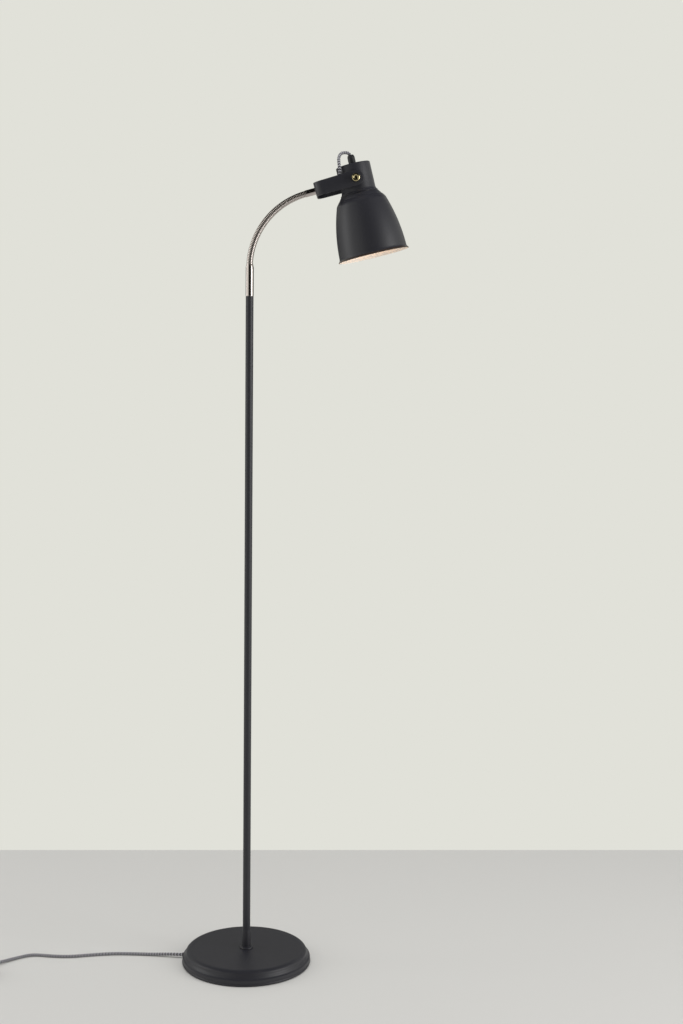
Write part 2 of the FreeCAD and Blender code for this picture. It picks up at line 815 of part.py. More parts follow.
def make_strap():
    far = d.strap_reach + d.strap_end_radius * OVERCUT
    corner = d.strap_corner_radius
    inner_corner = corner - d.strap_thickness
    flat = arm_outer - corner
    band = padded("strap_band", "XY_Plane", [
        (far, arm_outer),
        (corner, arm_outer),
        (0, flat, corner, LEFT),
        (0, -flat),
        (corner, -arm_outer, corner, LEFT),
        (far, -arm_outer),
        (far, -arm_inner),
        (corner, -arm_inner),
        (d.strap_thickness, -flat, inner_corner, RIGHT),
        (d.strap_thickness, flat),
        (corner, arm_inner, inner_corner, RIGHT),
        (far, arm_inner),
    ], d.strap_end_radius * 2 * OVERCUT)
    side = padded("strap_side", "XZ_Plane", [
        (-d.strap_thickness, -d.strap_bend_half_width),
        (d.strap_reach, -d.strap_end_radius),
        (d.strap_reach + d.strap_end_radius, 0, d.strap_end_radius, LEFT),
        (d.strap_reach, d.strap_end_radius, d.strap_end_radius, LEFT),
        (-d.strap_thickness, d.strap_bend_half_width),
    ], arm_outer * 2 * OVERCUT)
    blank = doc.addObject("Part::Common", "strap_blank")
    blank.Base = band
    blank.Tool = side
    across = Placement(Vector(d.strap_reach.value, arm_outer.value * OVERCUT, 0),
                       Rotation(Vector(1, 0, 0), 90))
    holes = [
        cylinder("strap_pivot_hole", d.screw_radius + d.fit, arm_outer * 2 * OVERCUT, across),
        cylinder("strap_bolt_hole", d.stud_radius + d.fit * 2, d.strap_thickness * 2 * OVERCUT,
                 Placement(Vector(-d.strap_thickness.value, 0, 0), Rotation(Vector(0, 1, 0), 90))),
    ]
    keep(cut("bracket", blank, *holes), "bracket", strap_place)


def make_neck_bolt():
    """The hollow bolt that holds the strap on the ferrule, its nut and the bush the cord comes out of."""
    ring("neck_bolt", d.stud_radius, stud_bore, -d.neck_bolt_grip, bolt_end, strap_face)
    hexagon_nut("neck_nut", d.nut_flat_radius, d.stud_radius + d.fit, d.strap_thickness,
                d.neck_nut_height, strap_face)
    bore = d.cord_radius + d.fit
    ring("cord_bush", bore + d.cord_bush_wall, bore, bolt_end, bush_end, strap_face)


def outward(side):
    """The frame of the near (-1) or far (+1) side of the pivot, its Z axis pointing outward."""
    return Placement(pivot, Rotation(Vector(1, 0, 0), -90 * side))


def make_thumb_screw(label, side):
    screw_end = nut_inner - d.screw_end_reach
    hub = arm_outer + d.screw_seat_gap
    knob = hub + d.screw_hub_length
    face = knob + d.knob_length
    screw = turned(label, [
        (0, screw_end),
        (d.screw_radius, screw_end),
        (d.screw_radius, hub),
        (d.screw_hub_radius, hub),
        (d.screw_hub_radius, knob),
        (d.knob_radius - d.knob_chamfer, knob),
        (d.knob_radius, knob + d.knob_chamfer),
        (d.knob_radius, face - d.knob_chamfer),
        (d.knob_radius - d.knob_chamfer, face),
        (d.knob_dish_radius, face),
        (d.knob_dish_radius - d.knob_dish_depth, face - d.knob_dish_depth),
        (0, face - d.knob_dish_depth),
    ], outward(side))
    groove = screw.newObject("PartDesign::Pocket", f"{label}_groove")
    groove.Profile = outline_sketch(screw, f"{label}_groove_outline", "XY_Plane", [
        (d.knob_radius - d.knurl_depth, 0),
        (d.knob_radius + d.knurl_overcut, -d.knurl_half_width),
        (d.knob_radius + d.knurl_overcut, d.knurl_half_width),
    ])
    groove.Midplane = True
    bind(groove, Length=face * 2 * OVERCUT)
    pattern = screw.newObject("PartDesign::PolarPattern", f"{label}_knurl")
    pattern.Originals = [groove]
    pattern.Axis = ({part.Role: part for part in screw.Origin.OriginFeatures}["Z_Axis"], [""])
    pattern.Angle = 360
    pattern.Occurrences = round(d.knurl_count.value)
    pattern.setExpression("Occurrences", d.knurl_count.text)
    screw.Tip = pattern


def make_pivot_fittings():
    """The fibre washers between strap and cap, and the nuts inside the cap, cut to its curve."""
    washers = []
    nuts = []
    for name, side in (("near", -1), ("far", 1)):
        washer = ring(f"{name}_washer", d.pivot_washer_radius, d.screw_radius + d.fit,
                      d.cap_radius + d.pivot_washer_gap, arm_inner - d.pivot_washer_gap,
                      outward(side))
        subparts.pop(f"{name}_washer")
        washers.append(washer)
        reach = d.cap_radius - nut_inner
        blank = cylinder(f"{name}_nut_blank", d.pivot_nut_radius, reach, outward(side) * lifted(nut_inner))
        drum = cylinder(f"{name}_nut_drum", cap_inner - d.fit, d.cap_depth, head_place)
        saddle = doc.addObject("Part::Common", f"{name}_nut_saddle")
        saddle.Base = blank
        saddle.Tool = drum
        bore = cylinder(f"{name}_nut_bore", d.screw_radius + d.fit, reach,
                        outward(side) * lifted(nut_inner))
        nuts.append(cut(f"{name}_nut", saddle, bore))
    keep(compound("pivot_washers", *washers), "pivot_washers")
    keep(compound("pivot_nuts", *nuts), "pivot_nuts")


# ---------------------------------------------------------------------------------------- head

# Heights in the head's own frame run down from the top of the cap.
head_axis = turned_about_y(180 - d.head_tilt.value).Rotation
head_place = Placement(pivot - head_axis.multVec(Vector(0, 0, d.pivot_depth.value)), head_axis)
cap_foot = d.cap_radius + d.cap_flare_width


def make_head_cap():
    flare_start = d.cap_depth - d.cap_flare_drop
    flare_bend = ((d.cap_flare_width * d.cap_flare_width + d.cap_flare_drop * d.cap_flare_drop)
                  / (d.cap_flare_width * 2))
    nipple_hole = d.nipple_radius + d.fit * 2
    blank = turned("head_cap_blank", [
        (nipple_hole, 0),
        (d.cap_radius - d.cap_edge_bend, 0),
        (d.cap_radius, d.cap_edge_bend, d.cap_edge_bend, LEFT),
        (d.cap_radius, flare_start),
        (cap_foot, d.cap_depth, flare_bend, RIGHT),
        (cap_foot - d.cap_wall, d.cap_depth),
        (cap_inner, flare_start, flare_bend, LEFT),
        (cap_inner, d.cap_wall + d.cap_inner_bend),
        (cap_inner - d.cap_inner_bend, d.cap_wall, d.cap_inner_bend, RIGHT),
        (nipple_hole, d.cap_wall),
    ])
    subparts.pop("head_cap_blank")
    across = Placement(Vector(0, d.cap_radius.value * OVERCUT, d.pivot_depth.value),
                       Rotation(Vector(1, 0, 0), 90))
    hole = cylinder("cap_pivot_hole", d.screw_radius + d.fit, d.cap_radius * 2 * OVERCUT, across)
    keep(cut("head_cap", blank, hole), "head_cap", head_place)


def make_shade():
    wall = d.shade_wall
    seat = d.cap_depth + d.shade_seat_gap
    collar = cap_inner - d.shade_collar_gap
    collar_foot = d.cap_depth - d.shade_collar_rise
    collar_top = collar_foot - d.shade_collar_height
    shelf = cap_foot - d.shade_shelf_inset
    crease, crease_depth = cap_foot + d.shade_crease_width, seat + d.shade_crease_drop
    shoulder, shoulder_depth = crease + d.shade_shoulder_width, crease_depth + d.shade_shoulder_drop
    bell, bell_depth = shoulder + d.shade_turn_width, shoulder_depth + d.shade_turn_drop
    lip, lip_depth = bell + d.shade_bell_width, d.head_depth - d.shade_lip_height
    rim = lip + d.shade_lip_width
    turned("shade", [
        (collar, collar_top),
        (collar, collar_foot),
        (shelf, seat),
        (cap_foot, seat),
        (crease, crease_depth),
        (shoulder, shoulder_depth),
        (bell, bell_depth, d.shade_shoulder_bend, LEFT),
        (lip, lip_depth, d.shade_bell_bend, LEFT),
        (rim, d.head_depth - d.rim_bead, d.shade_lip_bend, RIGHT),
        (rim, d.head_depth, d.rim_bead / 2 + d.fit, LEFT),
        (rim - wall, d.head_depth),
        (lip - wall, lip_depth, d.shade_lip_bend, LEFT),
        (bell - wall, bell_depth, d.shade_bell_bend, RIGHT),
        (shoulder - wall, shoulder_depth, d.shade_shoulder_bend, RIGHT),
        (crease - wall, crease_depth),
        (cap_foot - wall, seat + wall),
        (shelf - wall, seat + wall),
        (collar - wall, collar_foot + wall),
        (collar - wall, collar_top),
    ], head_place)


def make_grip():
    """The cord grip on top of the cap, with a flared mouth for the cord."""
    bore = d.cord_radius + d.fit
    thread = d.nipple_radius + d.fit
    turned("cord_grip", [
        (thread, 0),
        (d.grip_neck_radius, 0),
        (d.grip_neck_radius, -d.grip_neck_height),
        (d.grip_radius, -d.grip_shoulder_height),
        (d.grip_radius, d.grip_edge_drop - d.grip_height),
        (d.grip_top_radius, -d.grip_height),
        (d.grip_mouth_radius, -d.grip_height),
        (bore, d.grip_mouth_depth - d.grip_height),
        (bore, -d.grip_thread_depth),
        (thread, -d.grip_thread_depth),
    ], head_place)


disc_top = d.dome_depth + d.disc_gap
disc_foot = disc_top + d.disc_thickness
tongue_foot = disc_foot + d.tongue_height
globe_depth = d.holder_depth + d.globe_drop


def make_holder():
    """The threaded nipple, its nut and the lampholder that hangs from them."""
    thread = d.nipple_radius + d.fit
    ring("grip_nipple", d.nipple_radius, d.cord_radius + d.nipple_bore_gap, -d.nipple_above, d.nipple_below,
         head_place)
    hexagon_nut("nipple_nut", d.nipple_nut_radius, thread, d.cap_wall, d.nipple_nut_height, head_place)
    inner = d.holder_radius - d.holder_wall
    turned("holder_dome", [
        (thread, d.dome_neck_top),
        (d.dome_neck_radius, d.dome_neck_top),
        (d.dome_neck_radius, d.dome_neck_foot),
        (d.holder_radius, d.dome_shoulder),
        (d.holder_radius, d.dome_depth),
        (inner, d.dome_depth),
        (inner, d.dome_shoulder + d.dome_corner_drop),
        (d.dome_neck_radius, d.dome_neck_foot + d.dome_roof),
        (thread, d.dome_neck_foot + d.dome_roof),
    ], head_place)
    ring("holder_skirt", d.holder_radius, inner, d.dome_depth, d.holder_depth, head_place)
    disc_radius = inner - d.fit * 2
    turned("holder_contact", [
        (0, disc_top),
        (disc_radius, disc_top),
        (disc_radius, disc_foot),
        (d.tongue_radius, disc_foot),
        (d.tongue_radius, tongue_foot),
        (0, tongue_foot),
    ], head_place)
    shell = d.bulb_thread_radius + d.shell_gap
    ring("holder_shell", shell + d.shell_wall, shell, disc_foot, d.holder_depth - d.shell_short, head_place)


def make_bulb():
    tip = tongue_foot + d.bulb_seat_gap
    thread_start = tip + d.bulb_tip_height + d.bulb_thread_start
    turned("bulb_base", [
        (0, tip),
        (d.bulb_tip_radius, tip),
        (d.bulb_tip_radius, tip + d.bulb_tip_height),
        (d.bulb_thread_radius, thread_start),
        (d.bulb_thread_radius, d.holder_depth),
        (0, d.holder_depth),
    ], head_place)
    neck = d.bulb_thread_radius - d.bulb_neck_inset
    inner_globe = d.globe_radius - d.globe_wall
    inner_waist = d.bulb_waist_radius - d.globe_wall
    above = (d.globe_radius * d.globe_radius - d.bulb_waist_radius * d.bulb_waist_radius).root()
    inner_above = (inner_globe * inner_globe - inner_waist * inner_waist).root()
    turned("bulb_globe", [
        (neck - d.globe_wall, d.holder_depth),
        (neck, d.holder_depth),
        (d.bulb_waist_radius, globe_depth - above),
        (0, globe_depth + d.globe_radius, d.globe_radius, LEFT),
        (0, globe_depth + inner_globe),
        (inner_waist, globe_depth - inner_above, inner_globe, RIGHT),
    ], head_place)


# The loop of the head's cord from just past the grip to just short of the strap, as seen from the pivot.
HEAD_CORD_RISE = 9.8
HEAD_CORD_LEAD = 9.5
HEAD_CORD_POINTS = [
    Vector(-18.6, -4.5, 47.0),
    Vector(-26.6, -10.5, 45.2),
    Vector(-30.8, -17.5, 38.6),
    Vector(-31.0, -23.0, 29.6),
    Vector(-29.6, -26.2, 20.0),
    Vector(-28.8, -26.4, 10.2),
    Vector(-30.6, -23.0, 1.2),
    Vector(-36.0, -15.8, -6.4),
    Vector(-44.0, -6.6, -11.8),
]


def make_head_cords():
    """The cord in the grip and holder, and the short loop from the grip back down to the strap."""
    def on_axis(depth):
        return head_place.multVec(Vector(0, 0, depth))

    grip_end = (d.grip_cord_depth - d.grip_height).value
    holder_end = (disc_top - d.disc_gap).value
    upward = head_place.Rotation.multVec(Vector(0, 0, -1))
    cord_tube("holder_cord", [Part.LineSegment(on_axis(grip_end), on_axis(holder_end)).toShape()], -upward)
    start = on_axis(grip_end)
    end = strap_place.multVec(Vector(bush_end.value, 0, 0))
    forward = strap_place.Rotation.multVec(Vector(1, 0, 0))
    loop = [pivot + point for point in HEAD_CORD_POINTS]
    route = [start, start + upward * HEAD_CORD_RISE, *loop, end + forward * HEAD_CORD_LEAD, end]
    cord_tube("head_cord", rounded_route("head_cord", route), upward)


# ------------------------------------------------------------------- mains cord on the floor

# The route over the floor: from the grommet to the foot switch, then from the switch to the coil.  The
# third value of each point is the gap between the cord and the floor.
FIRST_RUN = 22.0
LAST_RUN = 24.0
SWITCH_RUN = 17.0
CORD_POINTS_TO_SWITCH = [
    Vector(-181.0, 15.6, 0.4),
    Vector(-217.0, 17.6, 0.05),
    Vector(-259.0, 16.4, 0.05),
    Vector(-300.0, 7.2, 0.05),
    Vector(-338.0, -3.0, 0.05),
    Vector(-374.0, -0.4, 0.05),
    Vector(-407.5, 5.0, 0.05),
    Vector(-431.5, -12.5, 0.05),
    Vector(-449.5, -28.5, 0.6),
    Vector(-466.0, -50.0, 3.2),
]
SWITCH_HEADING = Vector(-0.30, -0.954, 0).normalize()
CORD_POINTS_TO_COIL = [
    Vector(-506.4, -155.2, 2.1),
    Vector(-521.9, -162.2, 1.6),
]


def off_floor(points):
    """The points of a cord's line, which runs its own radius above the gaps."""
    return [point + Vector(0, 0, d.cord_radius.value) for point in points]


switch_start = off_floor(CORD_POINTS_TO_SWITCH)[-1] + SWITCH_HEADING * LAST_RUN
coil_pitch = d.cord_radius * 2 + d.coil_turn_gap
coil_rise = d.cord_radius * 2 + d.coil_layer_gap
coil_floor = (d.cord_radius + d.coil_floor_gap).value
plug_height = (d.plug_thickness / 2 + d.plug_floor_gap).value


def make_lead():
    leave = exit_rotation.multVec(Vector(1, 0, 0))
    start = leave * grommet_end.value + Vector(0, 0, d.exit_height.value)
    route = [start, start + leave * FIRST_RUN, *off_floor(CORD_POINTS_TO_SWITCH), switch_start]
    first = cord_tube("cord_run_a", rounded_route("cord_run_a", route), leave)
    switch_end = switch_start + SWITCH_HEADING * d.switch_length.value
    coil_start = coil_point(0) + Vector(d.coil_lead_in.value, 0, 0)
    route = [switch_end, switch_end + SWITCH_HEADING * SWITCH_RUN, *off_floor(CORD_POINTS_TO_COIL),
             coil_start]
    second = cord_tube("cord_run_b", rounded_route("cord_run_b", route), SWITCH_HEADING)
    third = make_coil(coil_start)
    print("free length", round(first.Length + second.Length + third.Length + d.switch_length.value, 1))


# Turns that the coil takes to climb from its lower layer to its upper one.
CLIMB_TURNS = 0.5
coil_turns = d.coil_inward_turns.value + CLIMB_TURNS + d.coil_outward_turns.value


def coil_point(turns):
    """Where the coil's line is after this many turns: spiral in, climb a layer, spiral out."""
    inward = d.coil_inward_turns.value
    pitch = coil_pitch.value
    smallest = d.coil_start_radius.value - pitch * inward
    climb = min(max((turns - inward) / CLIMB_TURNS, 0), 1)
    if turns <= inward:
        radius = d.coil_start_radius.value - pitch * turns
    elif climb < 1:
        radius = smallest - pitch / 2 * climb * (1 - climb)
    else:
        radius = smallest + pitch * (turns - inward - CLIMB_TURNS)
    height = coil_floor + coil_rise.value * climb * climb * (3 - 2 * climb)
    angle = -math.pi / 2 - 2 * math.pi * turns
    centre = Vector(d.coil_centre_x.value, d.coil_centre_y.value, 0)
    return centre + Vector(radius * math.cos(angle), radius * math.sin(angle), height)


def coil_heading(turns):
    """The direction of the coil's line there; level and square to the radius at both ends."""
    if turns in (0, coil_turns):
        angle = -math.pi / 2 - 2 * math.pi * turns
        return Vector(math.sin(angle), -math.cos(angle), 0)
    step = 0.001
    return (coil_point(turns + step) - coil_point(turns - step)).normalize()


# Two headings count as one below this difference.
SAME_HEADING = 1e-9


def two_arcs(start, start_heading, end, end_heading):
    """Two arcs that leave start and reach end in the given directions."""
    chord = end - start
    both = start_heading + end_heading
    spread = 2 * (1 - start_heading.dot(end_heading))
    if spread < SAME_HEADING:
        leg = chord.dot(chord) / (2 * chord.dot(both))
    else:
        along = chord.dot(both)
        leg = (math.sqrt(along ** 2 + 2 * spread * chord.dot(chord) / 2) - along) / spread
    middle = (start + end + (start_heading - end_heading) * leg) * 0.5
    return [tangent_arc(start, start_heading, leg, middle),
            tangent_arc(middle, (end - end_heading * leg - middle).normalize(), leg, end)]


def tangent_arc(start, heading, leg, end):
    """The arc from start to end whose two equal tangents are leg long."""
    corner = start + heading * leg
    chord = end - start
    half_turn = math.acos(min(1.0, chord.Length / (2 * leg)))
    rise = chord.Length / 2 * math.tan(half_turn / 2)
    middle = (start + end) * 0.5
    return Part.Arc(start, middle + (corner - middle).normalize() * rise, end).toShape()


def make_coil(start):
    """The wound rest of the cord: two layers, then down beside itself to the plug."""
    steps = round(coil_turns * COIL_STEPS_PER_TURN)
    stops = [coil_turns * step / steps for step in range(steps + 1)]
    edges = [Part.LineSegment(start, coil_point(0)).toShape()]
    for turns, further in zip(stops, stops[1:]):
        edges += two_arcs(coil_point(turns), coil_heading(turns),
                          coil_point(further), coil_heading(further))
    heading = coil_heading(coil_turns)
    landing = coil_point(coil_turns) + heading * d.coil_descent_length.value
    landing.z = plug_height
    edges += two_arcs(coil_point(coil_turns), heading, landing, heading)
    end = landing + heading * d.coil_lead_out.value
    edges.append(Part.LineSegment(landing, end).toShape())
    path = cord_tube("cord_coil", edges, Vector(-1, 0, 0))
    points = [point for edge in edges for point in edge.discretize(Distance=GAP_SPACING)]
    print("coil's least gap to itself", round(least_gap(points) - 2 * d.cord_radius.value, 2))
    make_tie()
    make_plug(Placement(end, Rotation(Vector(1, 0, 0), heading)))
    return path


# The coil's gap to itself is measured between points this far apart, and over at least this much cord.
GAP_SPACING = 1.5
GAP_BEND = 45.0


def least_gap(points):
    """The least distance between points of a line that are more than a bend apart along it."""
    apart = round(GAP_BEND / GAP_SPACING)
    least = math.inf
    for index, point in enumerate(points):
        for other in points[index + apart:]:
            least = min(least, (point - other).Length)
    return least


# Degrees from +X round the coil to its tie.
TIE_TURN = 35


def make_tie():
    """A flat band round the coil's bundle."""
    inner = d.coil_start_radius - coil_pitch * d.coil_inward_turns - d.cord_radius - d.tie_gap
    outer = d.coil_start_radius + coil_pitch / 2 + d.cord_radius + d.tie_gap
    under = d.coil_floor_gap - d.tie_under_gap
    over = d.coil_floor_gap + coil_rise + d.cord_radius * 2 + d.tie_under_gap
    angle = Placement(Vector(d.coil_centre_x.value, d.coil_centre_y.value, 0),
                      Rotation(Vector(0, 0, 1), TIE_TURN))
    band = box("tie_band", outer - inner + d.tie_thickness * 2, d.tie_width,
               over - under + d.tie_thickness * 2,
               Placement(Vector((inner - d.tie_thickness).value, 0, (under - d.tie_thickness).value),
                         Rotation()))
    room = box("tie_room", outer - inner, d.tie_width * OVERCUT, over - under,
               Placement(Vector(inner.value, 0, under.value), Rotation()))
    keep(cut("coil_tie", band, room), "coil_tie", angle)


def make_plug(place):
    """A flat two-pin plug with a tapered tail, its X axis along the pins."""
    tail = doc.addObject("Part::Cone", "plug_tail")
    bind(tail, Radius1=d.plug_tail_radius, Radius2=d.plug_tail_foot_radius,
         Height=d.plug_tail_length + d.plug_fillet)
    tail.Placement = turned_about_y(90)
    half, neck = d.plug_half_width, d.plug_neck_half_width
    start, end = d.plug_tail_length, d.plug_tail_length + d.plug_length
    slab = padded("plug_slab", "XY_Plane", [
        (start, -neck), (start + d.plug_neck_length, -half), (end, -half),
        (end, half), (start + d.plug_neck_length, half), (start, neck),
    ], d.plug_thickness)
    doc.recompute()
    block = slab.Tip
    rounded = slab.newObject("PartDesign::Fillet", "plug_rounding")
    long_edges = [f"Edge{number + 1}" for number, edge in enumerate(block.Shape.Edges)
                  if abs(abs(edge.CenterOfMass.z) - d.plug_thickness.value / 2) < d.fit.value
                  and edge.CenterOfMass.x < end.value - d.fit.value]
    rounded.Base = (block, long_edges)
    bind(rounded, Radius=d.plug_fillet)
    slab.Tip = rounded
    keep(joined("plug_whole", tail, slab), "plug_body", place)
    pins = []
    for side in (-1, 1):
        pins.append(cylinder(f"plug_pin_{side + 1}", d.pin_radius, d.pin_length,
                             Placement(Vector(end.value, side * d.pin_spacing.value / 2, 0),
                                       Rotation(Vector(0, 1, 0), 90))))
    keep(compound("plug_pair", *pins), "plug_pins", place)


def stadium(length, width, corner):
    """A rectangle with round corners, its first end on the Y axis."""
    half = width / 2
    return [
        (corner, -half, corner, LEFT), (length - corner, -half),
        (length, corner - half, corner, LEFT), (length, half - corner),
        (length - corner, half, corner, LEFT), (corner, half),
        (0, half - corner, corner, LEFT), (0, corner - half),
    ]


def switch_shell(name, height, cavity_bottom):
    """A half of the switch's housing, standing on its own ground, and the tool that hollows it."""
    whole = padded(f"{name}_whole", "XY_Plane", stadium(d.switch_length, d.switch_width, d.switch_corner),
                   height)
    whole.Placement = lifted(height / 2)
    room = box(f"{name}_room", d.switch_length - d.switch_corner, d.switch_width - d.switch_corner, height,
               Placement(Vector(d.switch_corner.value / 2, 0, cavity_bottom.value), Rotation()))
    return whole, room


def make_switch():
    on_floor = Vector(switch_start.x, switch_start.y, 0)
    place = Placement(on_floor, Rotation(Vector(1, 0, 0), SWITCH_HEADING))
    whole, room = switch_shell("switch_base", d.switch_base_height, d.switch_wall)
    keep(cut("switch_base_cut", whole, room), "switch_base", place)
    lid_height = d.switch_height - d.switch_base_height
    whole, room = switch_shell("switch_cover", lid_height, -d.switch_wall)
    middle = Placement(Vector(d.switch_length.value / 2, 0, 0), Rotation())
    hole = cylinder("button_hole", d.button_radius + d.button_gap, lid_height * OVERCUT, middle)
    lid = cut("switch_cover_cut", whole, room, hole)
    keep(lid, "switch_cover", place * lifted(d.switch_base_height))
    roof = d.switch_height - d.switch_wall
    flange_top = roof - d.button_gap
    top = d.switch_height + d.button_stand_out
    turned("switch_button", [
        (0, flange_top - d.button_skirt),
        (d.button_flange_radius, flange_top - d.button_skirt),
        (d.button_flange_radius, flange_top),
        (d.button_radius, flange_top),
        (d.button_radius, top - d.knob_chamfer),
        (d.button_radius - d.knob_chamfer, top),
        (0, top),
    ], place * middle)


# --------------------------------------------------------------------------- build and write

make_base_cover()
make_base_weight()
make_base_fittings()
make_foot()
make_pole()
make_neck()
make_stand_cord()
make_strap()
make_neck_bolt()
make_neck_cord()
make_thumb_screw("thumb_screw_near", -1)
make_thumb_screw("thumb_screw_far", 1)
make_pivot_fittings()
make_head_cap()
make_shade()
make_grip()
make_holder()
make_bulb()
make_head_cords()
make_switch()
make_lead()
doc.recompute()

for thing in doc.Objects:
    if "Invalid" in thing.State or "Error" in thing.State:
        raise RuntimeError(f"{thing.Label} failed: {thing.State}")
for label, thing in subparts.items():
    if thing.Shape.isNull() or not thing.Shape.isValid() or not thing.Shape.Solids:
        raise RuntimeError(f"{label} has no sound solid")

os.makedirs("parts", exist_ok=True)
for label, thing in subparts.items():
    thing.Shape.exportStep(f"parts/{label}.step")
whole = Part.makeCompound([thing.Shape for thing in subparts.values()])
print(len(subparts), "sub-parts, box", whole.BoundBox)
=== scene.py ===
# %% [markdown]
# A gooseneck reading floor lamp.
#
# The lamp is a stack of turned and bent metal: a weighted dish for a base, a thin tube, a ribbed neck, a
# flat steel strap and a bell shade.  The solids come packed with every size already right, so this lesson
# dresses them: it spins, bends and bevels finer shells where light shows a curve, lays the fabric cord, and
# mixes the finishes.  The lamp's sizes below are in millimetres and become metres where they are used.  The
# room, its lamps and its camera are in metres.

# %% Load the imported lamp
import json
import math
import bmesh
import bpy
from mathutils import Matrix, Vector


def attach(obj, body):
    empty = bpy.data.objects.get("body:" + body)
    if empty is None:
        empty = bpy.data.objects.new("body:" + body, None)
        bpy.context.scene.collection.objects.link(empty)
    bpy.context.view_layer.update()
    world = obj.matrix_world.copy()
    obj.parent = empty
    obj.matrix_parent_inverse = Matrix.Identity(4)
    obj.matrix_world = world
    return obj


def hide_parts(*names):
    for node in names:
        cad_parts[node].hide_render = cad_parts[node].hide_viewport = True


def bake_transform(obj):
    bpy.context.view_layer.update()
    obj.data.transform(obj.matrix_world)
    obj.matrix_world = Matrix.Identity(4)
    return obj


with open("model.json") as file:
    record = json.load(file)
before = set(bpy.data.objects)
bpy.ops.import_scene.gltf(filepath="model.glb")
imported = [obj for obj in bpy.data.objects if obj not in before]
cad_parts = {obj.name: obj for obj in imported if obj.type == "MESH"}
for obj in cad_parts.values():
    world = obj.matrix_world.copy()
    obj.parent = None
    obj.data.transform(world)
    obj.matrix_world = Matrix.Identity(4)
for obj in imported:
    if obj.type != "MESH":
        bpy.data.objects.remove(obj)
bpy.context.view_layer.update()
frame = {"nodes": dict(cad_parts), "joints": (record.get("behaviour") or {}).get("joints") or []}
nodes = frame["nodes"]
joints = {joint["name"]: joint for joint in frame["joints"]}
MM = 0.001

# %% [markdown]
# A metal finish is mostly its gloss.  Object coordinates hold still on the lamp and survive an export, so
# every fine grain below reads them.  A grain that is finer than the eye can follow goes into a bump, and the
# surface keeps one plain colour on the shader's own socket.

# %% Finishes: a helper for one shader
def tone(red, green, blue):
    """A colour as it is read off a screen, 0 to 255, made linear."""
    def linear(value):
        value /= 255
        return value / 12.92 if value <= 0.04045 else ((value + 0.055) / 1.055) ** 2.4
    return (linear(red), linear(green), linear(blue), 1.0)


def new_finish(name, colour, roughness, metallic=0.0, **sockets):
    material = bpy.data.materials.new(name)
    material.use_nodes = True
    shader = material.node_tree.nodes["Principled BSDF"]
    shader.inputs["Base Color"].default_value = colour
    shader.inputs["Roughness"].default_value = roughness
    shader.inputs["Metallic"].default_value = metallic
    for socket, value in sockets.items():
        shader.inputs[socket.replace("_", " ")].default_value = value
    material.diffuse_color = colour
    return material


def grain(material, size, depth, detail=2.0):
    """A fine grain in the surface: size is the width of a grain in metres, depth its height."""
    tree = material.node_tree
    place = tree.nodes.new("ShaderNodeTexCoord")
    noise = tree.nodes.new("ShaderNodeTexNoise")
    bump = tree.nodes.new("ShaderNodeBump")
    noise.inputs["Scale"].default_value = 1 / size
    noise.inputs["Detail"].default_value = detail
    bump.inputs["Strength"].default_value = 1.0
    bump.inputs["Distance"].default_value = depth
    tree.links.new(place.outputs["Object"], noise.inputs["Vector"])
    tree.links.new(noise.outputs["Fac"], bump.inputs["Height"])
    tree.links.new(bump.outputs["Normal"], tree.nodes["Principled BSDF"].inputs["Normal"])
    return material


# %% Finishes: coats, metals and plastics
powder_coat = grain(new_finish("powder coat", tone(40, 40, 46), 0.46), size=0.0011, depth=0.00006)
# The bead of the rim is given a dark brown.
rim_brown = new_finish("brown rim bead", tone(52, 42, 36), 0.42)
shade_white = new_finish("warm white lining", tone(246, 236, 224), 0.5)
nickel = new_finish("polished nickel", tone(190, 182, 178), 0.1, metallic=1.0)
brass = grain(new_finish("satin brass", tone(200, 186, 142), 0.24, metallic=1.0), size=0.0009, depth=0.00003)
zinc = new_finish("zinc plate", tone(178, 180, 184), 0.38, metallic=1.0)
iron = grain(new_finish("rough casting", tone(62, 61, 60), 0.85), size=0.002, depth=0.0002)
felt = grain(new_finish("felt pad", tone(44, 44, 45), 0.95), size=0.0006, depth=0.0001)
fibre = new_finish("fibre washer", tone(60, 56, 52), 0.8)
black_plastic = grain(new_finish("matt black plastic", tone(38, 38, 40), 0.55), size=0.0008, depth=0.00002)
gloss_plastic = new_finish("black switch plastic", tone(40, 40, 42), 0.32)
ceramic = new_finish("white ceramic", tone(232, 229, 220), 0.35)
bulb_cap = new_finish("rolled bulb cap", tone(200, 200, 198), 0.3, metallic=1.0)
bulb_glass = new_finish("frosted bulb", tone(250, 246, 238), 0.45,
                        Emission_Color=tone(255, 226, 204), Emission_Strength=3.0)
print("finishes", len(bpy.data.materials))

# %% [markdown]
# The cord is a round woven sleeve in dark and pale grey thread, in bands that zigzag round it.  A tube
# made from a curve carries its own map, with one axis along the cord and one around it.  Bands along the
# one axis, pushed to and fro by the other, follow every bend, and the cord's length sets their pitch in
# millimetres.  A picture of cloth would need the same map and would show where it repeats, so two waves
# make the weave.

# %% Finish: woven cord
CORD_RADIUS = 2.8
BAND_PITCH = 5.0
ZIGZAGS_AROUND = 4
ZIGZAG_HEIGHT = 0.5
THREADS_PER_BAND = 5
THREAD_RELIEF = 0.2
DARK_THREAD, PALE_THREAD = tone(58, 57, 62), tone(176, 175, 179)
BAND_EDGE = (0.4, 0.6)


